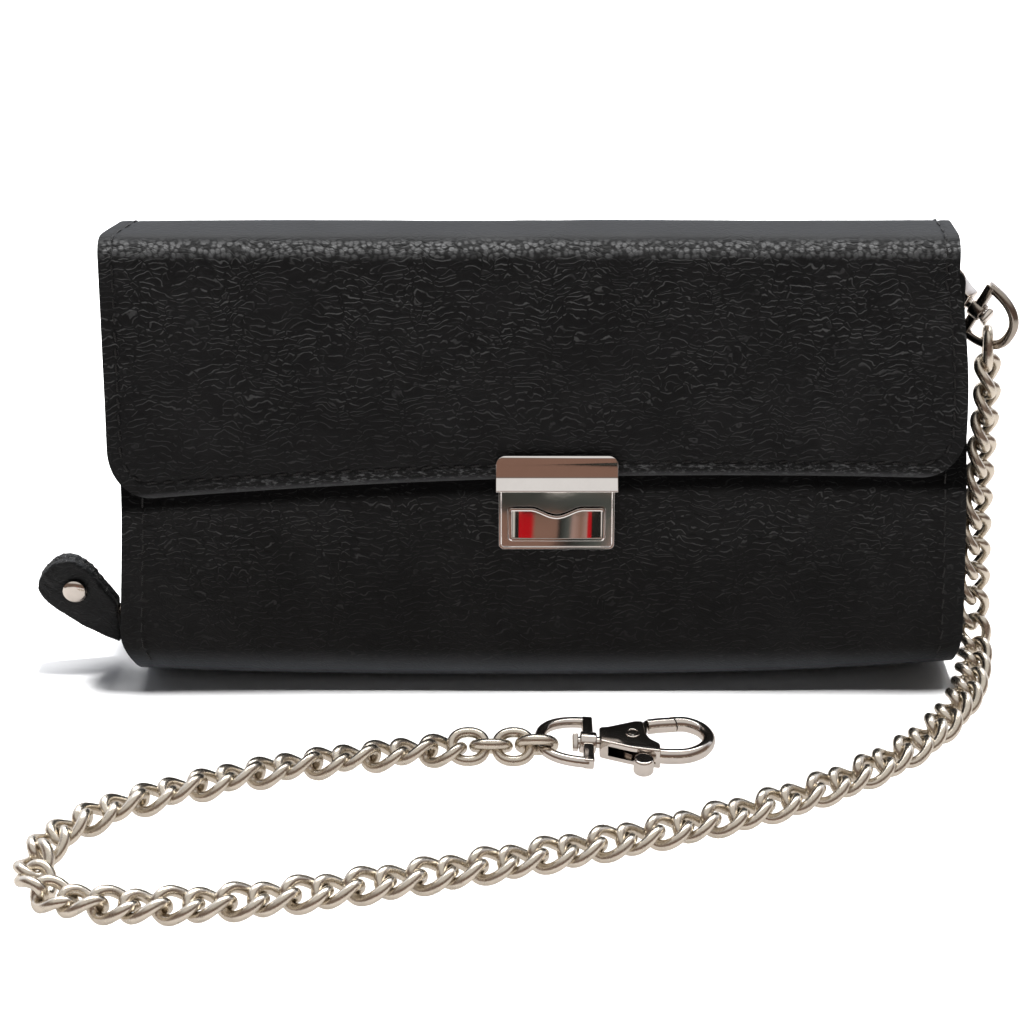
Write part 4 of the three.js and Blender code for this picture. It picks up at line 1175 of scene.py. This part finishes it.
def makeLockBase():
    half = lock["width"] / 2
    raised = 0.25
    base = block((-half, 0, lock["seat"]), (half, lock["baseTop"], lock["face"] - raised))
    roundCorners(base, lock["corner"], 6)
    edit(base)
    choose(base, "FACE", lambda face: face.normal.z > 0.9)
    bpy.ops.mesh.extrude_region_move(TRANSFORM_OT_translate={"value": (0, 0, raised)})
    bpy.ops.mesh.inset(thickness=0.42)
    bpy.ops.mesh.inset(thickness=0.16)
    bpy.ops.transform.translate(value=(0, 0, -0.22))
    bpy.ops.object.mode_set(mode="OBJECT")
    slotHalf = lock["tongueWidth"] / 2 + 0.35
    slot = block((-slotHalf, lock["tongueAt"] - 0.35, 0.75), (slotHalf, lock["tongueAt"] + 1.85, 9))
    cut(base, buttonBlock(0.2, 0.8, 9), slot)
    applied(base, "DECIMATE", decimate_type="DISSOLVE", angle_limit=degree)
    rounded(base, 0.16, 3, 40)
    return base


def makeFlapPlate():
    back, thick, lip = lock["plateBack"], lock["plateThickness"], lock["lip"]
    low, high, half = lock["plateFrom"], lock["plateTo"], lock["plateWidth"] / 2
    face = back + thick
    # distance from the panel and height: up the face, round the lip that stands out below, and up the back
    section = [
        (back, high), (face - 0.25, high), (face, high - 0.5), (face, low + 3.0),
        (face + lip * 0.12, low + 2.6), (face + lip * 0.5, low + 1.5), (face + lip * 0.95, low + 0.35),
        (face + lip, low + 0.05), (face + lip * 0.88, low - 0.12), (back + lip * 0.75, low + 0.1),
        (back + 0.35, low + 1.6), (back, low + 3.2)]
    bar = prism([(-y, z) for y, z in section], -half, half)
    bar.data.transform(Matrix(((0, 0, 1, 0), (0, 1, 0, 0), (-1, 0, 0, 0), (0, 0, 0, 1))))
    outline = block((-half, low - 6, 0), (half, high, 12))
    roundCorners(outline, lock["plateCorner"], 8,
                 lambda side: upright(side) and side.verts[0].co.y > high - 0.1)
    fused(bar, outline, how="INTERSECT")
    tidy(bar)
    applied(bar, "DECIMATE", decimate_type="DISSOLVE", angle_limit=degree)
    rounded(bar, 0.36, 3, 32)
    reach, at = lock["tongueWidth"] / 2, lock["tongueAt"]
    tongue = block((-reach, at - 0.25, 1.1), (reach, at + lock["tongueHeight"], back + 0.6))
    rounded(tongue, 0.3, 3)
    return joined([bar, tongue])


def makeButton():
    body = buttonBlock(0, lock["buttonBack"], lock["buttonFront"])
    edit(body)
    choose(body, "FACE", lambda face: face.normal.z > 0.9)
    bpy.ops.mesh.inset(thickness=lock["rim"])
    bpy.ops.mesh.extrude_region_move(TRANSFORM_OT_translate={"value": (0, 0, -lock["dish"])})
    bpy.ops.object.mode_set(mode="OBJECT")
    rounded(body, 0.16, 3, 40)
    # the polished face inside the rim is drawn slightly round, more so towards its ends
    half = lock["buttonWidth"] / 2 - lock["rim"] + 0.1
    floor = lock["buttonFront"] - lock["dish"]
    bottom = lock["buttonFoot"] + lock["rim"] - 0.1
    top = lock["buttonFoot"] + lock["buttonHeight"] - lock["rim"] + 0.1

    def place(r, c):
        x = mix(-half, half, c / 80)
        y = mix(bottom, top, r / 8)
        y = min(y, top - buttonDip(x))
        crown = 0.30 * (1 - (x / half) ** 2) + 0.16 * (1 - (x / half) ** 8)
        return Vector((x, y, floor + crown - 0.02))

    face = sheetOf(9, 81, place)
    applied(face, "SOLIDIFY", thickness=0.7, offset=-1)
    return joined([body, face])


for piece, name, node, body in (
    (makeLockBase(), "lockBase", "lock_base", "wallet"),
    (makeFlapPlate(), "lockFlapPlate", "lock_flap_plate", "wallet"),
    (makeButton(), "lockButton", "lock_button", "button"),
):
    finishPiece(piece, name, lockChrome, [node], body, place=lockFrame, smoothAngle=40,
                flatFaces=True)
print("lock made")


# snaps and their rings
ring = {
    "length": 12.6, "width": 14.2, "wire": 1.18, "squareness": 2.4, "barX": -2.4, "bar": (2.2, 15.8, 2.4),
    "boss": 2.25, "bossLength": 3.4, "bore": 1.5,
}
pin = {"radius": 1.2, "headSide": 3.4, "headLength": 1.2, "gap": 0.3}
snap = {
    "thickness": 4.6, "slot": 2.4, "pivot": (6.9, 0.3), "gateReach": 10.7, "gateGap": 0.3, "lever": 1.8,
    "wire": 1.4, "eyelet": 1.6, "eyeletBore": 1.12, "rivet": 1.05, "leverBore": 1.2,
    "outline": [(0, -2.4), (2, -3.2), (6.6, -5), (12.4, -6.2), (12.4, -3.4), (10.4, -1.6), (9.6, 0.4),
                (9.3, 4.6), (7.6, 4.7), (2, 2.7), (0, 2.4)],
    "opening": [(1.7, -8), (1.7, -2), (2.6, 1.2), (5.4, 3.2), (7, 6), (12, 6), (12, -1.5), (11.4, -3.6),
                (11.4, -8)],
    "hook": [(10.6, -4.5), (14.5, -5), (18.4, -4.6), (21.6, -2.4), (22.9, 1), (21.6, 4.4), (18.6, 6.4),
             (15, 6.5)],
    "hookReturn": [(12, 6.1), (8.6, 4.2), (6.6, 3.2)],      # the wallet's snap has its hook closed
    "gate": [(10.4, 5.6), (13, 6.1), (18, 6.5)],
    "arm": [(5.2, -1.5), (6.8, -2.4), (7.4, -7), (10.2, -7), (9.6, -1.6), (10.2, 4.4), (10.2, 7.1),
            (8.8, 5.4), (6, 2.7), (4.6, 1.4)],
    "knob": (8.8, -7.9), "knobRadius": 2.1, "knobThickness": 3.5,
}


def wire(points, radius, sides=12, closed=False, flatten=1.0):
    bpy.ops.curve.primitive_nurbs_path_add()
    path = bpy.context.object
    path.data.splines.clear()
    line = path.data.splines.new("POLY")
    line.points.add(len(points) - 1)
    for knot, place in zip(line.points, points):
        knot.co = (*place, 1)
    line.use_cyclic_u = closed
    path.data.bevel_depth = radius
    path.data.bevel_resolution = sides // 2 - 2
    path.data.use_fill_caps = True
    pick(path)
    bpy.ops.object.convert(target="MESH")
    rod = bpy.context.object
    rod.data.transform(Matrix.Diagonal((1, 1, flatten, 1)))
    tidy(rod)
    return rod


def lying(radius, start, end):
    # a rod along the snap's length
    bpy.ops.mesh.primitive_cylinder_add(
        vertices=28, radius=radius, depth=end - start, location=((start + end) / 2, 0, 0),
        rotation=(0, math.pi / 2, 0))
    bpy.ops.object.transform_apply(location=True, rotation=True)
    return bpy.context.object


def standing(radius, low, high, place=snap["pivot"], sides=36):
    # a rod across the snap, at its pivot where no other place is given
    bpy.ops.mesh.primitive_cylinder_add(
        vertices=sides, radius=radius, depth=high - low, location=(place[0], place[1], (low + high) / 2))
    bpy.ops.object.transform_apply(location=True)
    return bpy.context.object


def makeRing():
    # the bow is half of a rounded square, the bar closes it, and the bore takes the snap's pin
    depth = ring["length"] - ring["wire"] + ring["barX"] + 1
    power = 2 / ring["squareness"]
    bow = []
    for i in range(49):
        angle = math.pi * (i / 48 - 0.5)
        side = 1 if math.sin(angle) > 0 else -1
        bow.append((ring["barX"] - depth * abs(math.cos(angle)) ** power,
                    ring["width"] / 2 * side * abs(math.sin(angle)) ** power, 0))
    loop = wire(bow, ring["wire"], 14)
    bossHalf = ring["bossLength"] / 2
    thick, reach, high = [size / 2 for size in ring["bar"]]
    bar = block((ring["barX"] - thick, -reach, -high), (ring["barX"] + thick, reach, high))
    rounded(bar, 0.35, 3)
    boss = lying(ring["boss"], ring["barX"] - bossHalf, ring["barX"] + bossHalf)
    rounded(boss, 0.35, 3, 50)
    fused(loop, bar, boss)
    return cut(loop, lying(ring["bore"], ring["barX"] - 2 * bossHalf, ring["barX"] + 2 * bossHalf))


def makePin():
    headEnd = ring["barX"] - ring["bossLength"] / 2 - pin["gap"]
    shank = lying(pin["radius"], headEnd - 0.4, 0.6)
    side = pin["headSide"] / 2
    head = block((headEnd - pin["headLength"], -side, -side), (headEnd, side, side))
    head.data.transform(Matrix.Rotation(math.pi / 4, 4, "X"))
    rounded(head, 0.3, 3)
    return fused(shank, head)


def hookWire(points, count):
    line = Route([(x, y, 0) for x, y in points], 400)
    return wire(line.samples(count), snap["wire"], 16, flatten=1.22)


def makeSnapBody():
    half = snap["thickness"] / 2
    body = prism(snap["outline"], -half, half)
    roundCorners(body, 0.5, 3)
    rounded(body, 0.42, 3, 50)
    cut(body, prism(snap["opening"], -snap["slot"] / 2, snap["slot"] / 2))
    hook = hookWire(snap["hook"], 60)
    # the hook ends where the gate's swing begins
    tipSide = prism([(9.6, 3.8), (20, 3.8), (20, 12), (9.6, 12)], -10, 10)
    swing = standing(snap["gateReach"] + snap["gateGap"], -12, 12, sides=96)
    cut(hook, fused(tipSide, swing, how="INTERSECT"))
    eyelet = standing(snap["eyelet"], -half - 0.12, half + 0.12)
    cut(eyelet, prism(snap["opening"], -snap["slot"] / 2, snap["slot"] / 2))
    rivet = standing(snap["rivet"], -half - 0.02, half + 0.02)
    cut(eyelet, standing(snap["eyeletBore"], -9, 9))
    rounded(rivet, 0.2, 2)
    rounded(eyelet, 0.1, 2, 50)
    fused(body, hook)
    return joined([body, eyelet, rivet, makePin()])


def makeLever():
    half = snap["lever"] / 2
    arm = prism(snap["arm"], -half, half)
    rounded(arm, 0.2, 2)
    gate = hookWire(snap["gate"], 16)
    fused(gate, standing(snap["gateReach"], -12, 12, sides=96), how="INTERSECT")
    rounded(gate, 0.12, 2, 50)
    reach = snap["knobThickness"] / 2
    knob = standing(snap["knobRadius"], -reach, reach, snap["knob"])
    edit(knob)
    choose(knob, "FACE", lambda face: abs(face.normal.z) > 0.9)
    bpy.ops.mesh.bevel(offset=0.5, segments=4, affect="EDGES")
    bpy.ops.object.mode_set(mode="OBJECT")
    cut(arm, standing(snap["leverBore"], -9, 9))
    return fused(arm, gate, knob)


def makePlainSnap():
    half = snap["thickness"] / 2 - 0.3
    body = prism(snap["outline"], -half, half)
    roundCorners(body, 0.5, 3)
    rounded(body, 0.4, 3, 50)
    hook = hookWire(snap["hook"] + snap["hookReturn"], 64)
    fused(body, hook)
    return joined([body, makePin()])


def aboutBar(change):
    # a turn or scale about the middle of the ring's bar
    bar = Matrix.Translation((ring["barX"], 0, 0))
    return bar @ change @ bar.inverted()


freeSnapFrame = Matrix.Translation((11.2, -43.5, 2.42))
freeRingFrame = freeSnapFrame @ aboutBar(Matrix.Rotation(5 * degree, 4, "Y"))
towardsNose = -Vector((0.69, -0.594, -0.415)).normalized()
ringNormal = towardsNose.cross(Vector((0.3, -0.287, 0.91))).normalized()
walletSnapFrame = frameMatrix(
    towardsNose, ringNormal.cross(towardsNose), ringNormal,
    Vector((93.6, 14, 75.6)) - towardsNose * ring["barX"])
walletRingFrame = walletSnapFrame @ aboutBar(Matrix.Scale(0.9, 4))

for piece, name, finish, node, body, place in (
    (makeRing(), "snapRing", snapNickel, "snap_ring", "wallet", freeRingFrame),
    (makeSnapBody(), "snapBody", snapNickel, "snap_body", "snap", freeSnapFrame),
    (makeLever(), "snapLever", snapNickel, "snap_lever", "lever", freeSnapFrame),
    (makeRing(), "walletRing", shadedNickel, "wallet_snap_ring", "wallet", walletRingFrame),
    (makePlainSnap(), "walletSnap", snapNickel, "wallet_snap", "wallet", walletSnapFrame),
):
    finishPiece(piece, name, finish, [node], body, place=place, smoothAngle=35)
print("snaps made")


# leather loop on the back
loop = {
    "thickness": 1.4, "height": 2.4, "drop": 1.5, "inner": 2.2, "foot": 5, "wallGap": 0.4,
    "nose": (22.9, 0.8, 0),      # the middle of the snap's nose in its own frame
}


def makeLoop():
    nose = walletSnapFrame @ Vector(loop["nose"])
    low = nose.z - loop["drop"] - loop["height"] / 2
    wallY = backY(low) + flap["gap"] + flap["thickness"] + loop["wallGap"] + loop["thickness"] / 2
    reach = loop["inner"] + loop["thickness"] / 2
    foot = reach + loop["foot"]
    corners = [(-foot, wallY), (-reach - 0.6, wallY), (-reach, wallY + 0.8)]
    for angle in range(180, -1, -12):
        corners.append((reach * math.cos(angle * degree), nose.y + reach * math.sin(angle * degree)))
    corners += [(reach, wallY + 0.8), (reach + 0.6, wallY), (foot, wallY)]
    line = Route([(x, y, 0) for x, y in corners], 800)
    rows = 90

    def place(r, c):
        here = line.at(r / (rows - 1))
        return Vector((nose.x + here.x, here.y, low + loop["height"] * c / 4))

    strap = sheetOf(rows, 5, place)
    applied(strap, "SOLIDIFY", thickness=loop["thickness"], offset=0, use_even_offset=True)
    tidy(strap)
    rounded(strap, 0.3, 2, 60)
    return strap


finishPiece(makeLoop(), "sideLoop", panelLeather, ["side_loop"])


# chain
link = {
    "pitch": 5.93, "halfLength": 4.1, "halfWidth": 2.95, "wire": 1.12, "squareness": 2.3, "twist": 55,
    "around": 36, "sides": 12, "lean": 7, "sway": 12, "lyingFrom": 15,
}
# x, y, z and the way that the links' flat side faces, from the wallet's ring to the table and round
hanging, rolledForward, rolledBack, up = (0.86, -0.5, 0), (0, -0.17, 0.985), (0, 0.1, 0.995), (0, 0, 1)
chainRoute = [
    (96.2, 11.8, 67.4, hanging), (96.4, 8.3, 58, hanging), (96.1, 5.3, 43, (0.75, -0.65, 0)),
    (96.1, 2.8, 30, (0.65, -0.75, 0)), (96.4, 0.8, 18.7, (0.5, -0.85, 0.15)),
    (96.7, -0.9, 10, (0.2, -0.9, 0.3)), (96.9, -3.4, 5.4, (0.1, -0.7, 0.7)),
    (96.6, -7, 3.3, (0.05, -0.3, 0.95)), (95.9, -11, 2.75, up), (94.2, -17.4, 2.45, up),
    (91.3, -25.1, 2.45, up), (88, -31.2, 2.45, up), (81, -40.8, 2.45, up),
    (74.5, -47.2, 2.6, (0, -0.1, 0.995)), (66, -53.8, 2.8, rolledForward), (46, -65, 2.8, rolledForward),
    (18, -75.5, 2.8, rolledForward), (-12, -84.5, 2.8, rolledForward), (-44, -92.4, 2.8, rolledForward),
    (-66, -95.8, 2.8, rolledForward), (-84, -95.6, 2.6, (0, -0.1, 0.995)), (-94, -92.4, 2.45, up),
    (-98, -84.8, 2.45, up), (-96, -76.4, 2.45, up), (-88, -68, 2.6, (0, 0.05, 0.998)),
    (-72, -59.8, 2.7, rolledBack), (-50, -52.2, 2.7, rolledBack), (-30, -47.9, 2.7, rolledBack),
    (-21.4, -46.6, 2.7, up)]
# the last four links before the free snap are plain ovals, each turned across its neighbour
ringLinks = [
    (-16.05, -46, 3.15, 44), (-11.35, -45.8, 3.1, -45), (-6.65, -46.1, 3.2, 45), (-1.9, -45.9, 3.55, -57)]
runs = {7: 7, 14: 7, 31: 6, 47: 8, 55: 6, 61: 5}      # first link of a run: how many links it holds


def makeLink(halfLength, halfWidth, twist):
    line = []
    for i in range(link["around"]):
        angle = 2 * math.pi * i / link["around"]
        reach = [math.copysign(abs(share) ** (2 / link["squareness"]), share) for share in (
            math.cos(angle), math.sin(angle))]
        turn = -twist * degree * reach[0]
        line.append((halfLength * reach[0], halfWidth * reach[1] * math.cos(turn),
                     halfWidth * reach[1] * math.sin(turn)))
    return wire(line, link["wire"], link["sides"], closed=True)


curbLink = makeLink(link["halfLength"], link["halfWidth"], link["twist"])
firstLink = makeLink(4.2, 3.05, 0)
ovalLink = makeLink(3.5, 3.0, 0)


def linkFrame(place, along, face, roll):
    across = face.cross(along).normalized()
    across.rotate(Matrix.Rotation(roll * degree, 3, along))
    return frameMatrix(along, across, along.cross(across), place)


def makeChain():
    path = Route([row[:3] for row in chainRoute])
    count = round(path.total / link["pitch"]) + 1
    made = []
    for i in range(count):
        share = i / (count - 1)
        t = path.share(share) * (len(chainRoute) - 1)
        row = min(int(t), len(chainRoute) - 2)
        face = Vector(chainRoute[row][3]).lerp(Vector(chainRoute[row + 1][3]), t - row)
        model, roll = (firstLink, -19) if i == 0 else (curbLink, 0)
        if i >= link["lyingFrom"]:       # links on the table rock a little, each against the next
            roll = math.copysign(link["lean"], -path.along(share).x) + link["sway"] * (-1) ** i
        piece = copied(model, linkFrame(path.at(share), path.along(share), face, roll))
        sunk = min(min(corner.co.z for corner in piece.data.vertices), 0)
        piece.data.transform(Matrix.Translation((0, 0, -sunk)))
        made.append(piece)
    for x, y, z, roll in ringLinks:
        made.append(copied(ovalLink, linkFrame(Vector((x, y, z)), Vector((1, 0, 0)), Vector(up), roll)))
    return made


links = makeChain()
number = 1
runNumber = 0
while number <= len(links):
    size = runs.get(number, 1)
    members = joined(links[number - 1:number - 1 + size])
    if size > 1:
        runNumber += 1
        name, node = f"chainRun{runNumber}", f"chain_run_{runNumber}"
    else:
        name, node = f"link{number:02d}", f"link_{number:02d}"
    finishPiece(members, name, chainNickel, [node], smoothAngle=80)
    number += size
for model in (curbLink, firstLink, ovalLink, stitchModel):
    bpy.data.objects.remove(model)
print("chain made:", len(links), "links")


# studio: camera, floor, lamps and the room that the metal mirrors
studio = {
    "eye": (-7.0, -385.8, 245.6), "pitch": 28.82, "lens": 70.3125, "floor": 2.6, "boardMiddle": 18,
    "boardY": -600,
}

bpy.ops.object.camera_add(
    location=[c * mm for c in studio["eye"]], rotation=((90 - studio["pitch"]) * degree, 0, 0))
camera = bpy.context.object
camera.data.lens = studio["lens"]
camera.data.sensor_width = 36
camera.data.clip_start = 0.01
camera.data.clip_end = 20
bpy.context.scene.camera = camera

bpy.ops.mesh.primitive_plane_add(size=studio["floor"], location=(0, 0, -0.0001))
floor = bpy.context.object
floor.name = "paleFloor"
paper = Finish("paper", roughness=0.9, specularIorLevel=0.1, baseColor=(0.93, 0.93, 0.93, 1))
# polished things mirror the table darker than the eye sees it, as under an exposure that burns it out
paper.dulled(paper.node("ShaderNodeLightPath", output="Is Glossy Ray"), (0.42, 0.40, 0.385, 1))
floor.data.materials.append(paper.material)


def softLight(name, place, aim, width, height, watts):
    bpy.ops.object.light_add(type="AREA", location=place)
    lamp = bpy.context.object
    lamp.name = name
    lamp.data.shape = "RECTANGLE"
    lamp.data.size = width
    lamp.data.size_y = height
    lamp.data.energy = watts
    lamp.rotation_euler = (Vector(aim) - Vector(place)).to_track_quat("-Z", "Y").to_euler()
    return lamp


softLight("overheadLight", (0, 0.75, 1.2), (0, 0, 0.03), 1.5, 0.8, 24)
# a small high lamp behind the wallet draws the edge of the leather's shadow and stays out of the reflections
highLamp = softLight("highLamp", (0.05, 0.3, 1.55), (0, 0, 0), 0.12, 0.12, 42)
highLamp.visible_glossy = False
blockers = bpy.data.collections.new("highLampBlockers")
for piece in [obj for obj in bpy.data.objects if obj.type == "MESH" and len(obj.data.materials)]:
    if piece.data.materials[0] in (flapLeather, panelLeather, innerLeather, pullLeather):
        blockers.objects.link(piece)
highLamp.light_linking.blocker_collection = blockers


def glowBoard(name, low, high, width, slant, stops):
    # a board of coloured bands in front of the wallet, which only polished metal mirrors
    bpy.ops.mesh.primitive_plane_add(size=1, rotation=(math.pi / 2, 0, 0))
    board = bpy.context.object
    board.name = name
    bpy.ops.object.transform_apply(rotation=True)
    middle = studio["boardMiddle"]
    board.scale = (width * mm, 1, (high - low) * mm)
    board.location = (middle * mm, studio["boardY"] * mm, (low + high) / 2 * mm)
    bpy.ops.object.transform_apply(location=True, scale=True)
    glow = Finish(name, roughness=1.0, specularIorLevel=0.0, baseColor=(0, 0, 0, 1), emissionStrength=1.0)
    x, y, z = glow.parts(glow.places())
    across = x - slant * (z - low)
    pattern = glow.node("ShaderNodeValToRGB", {
        "stops": [((place - middle) / width + 0.5, colour) for place, colour in stops]}, {
        "Fac": (across - middle) * (1 / width) + 0.5})
    glow.feed(emissionColor=pattern)
    board.data.materials.append(glow.material)
    board.visible_camera = False
    board.visible_diffuse = False
    board.visible_shadow = False


dark = (0.014, 0.015, 0.013, 1)
green = (0.085, 0.095, 0.085, 1)
brown = (0.23, 0.130, 0.095, 1)
pink = (0.38, 0.25, 0.21, 1)
pale = (0.55, 0.52, 0.47, 1)
red = (0.46, 0.008, 0.012, 1)
glowBoard("upperBoard", 41, 130, 400, 3.2, [
    (-90, brown), (-40, brown), (-34, dark), (-18, dark), (-8, green), (4, dark), (12, pale), (22, green),
    (60, brown)])
glowBoard("middleBoard", 31.5, 41, 600, 0, [(-90, brown), (-70, dark), (100, green), (120, brown)])
glowBoard("lowerBoard", 0, 31.5, 600, 0.3, [
    (-240, pale), (-165, pale), (-155, dark), (-114, dark), (-108, red), (-46, red), (-36, brown), (8, brown),
    (14, dark), (34, green), (42, pink), (60, brown), (78, pink), (84, red), (102, red), (106, dark)])

world = bpy.data.worlds.new("studioWorld")
world.use_nodes = True
bpy.context.scene.world = world
# bright low down behind, a dim brown room elsewhere; the camera itself sees white
sky = NodeMaker(world.node_tree)
x, y, z = sky.parts(sky.node("ShaderNodeTexCoord", output="Generated"))
mirroredRoom = sky.blend(z.band(0.5, 0.8), (0.19, 0.135, 0.110, 1), (0.80, 0.78, 0.76, 1))
glossyRay = sky.node("ShaderNodeLightPath", output="Is Glossy Ray")
cameraRay = sky.node("ShaderNodeLightPath", output="Is Camera Ray")
inFront = sky.blend(glossyRay, (0.03, 0.03, 0.03, 1), mirroredRoom)
room = sky.blend(y.band(0.05, 0.6), inFront, (1.15, 1.19, 1.30, 1))
seen = sky.blend(cameraRay, room, (1.2, 1.2, 1.2, 1))
sky.plug(world.node_tree.nodes["Background"].inputs["Color"], seen)

view = bpy.context.scene.view_settings
view.view_transform = "Standard"
view.look = "None"
view.exposure = 0
view.gamma = 1
print("studio made")


def corners(box):
    return [[round(value, 6) for value in corner] for corner in box]
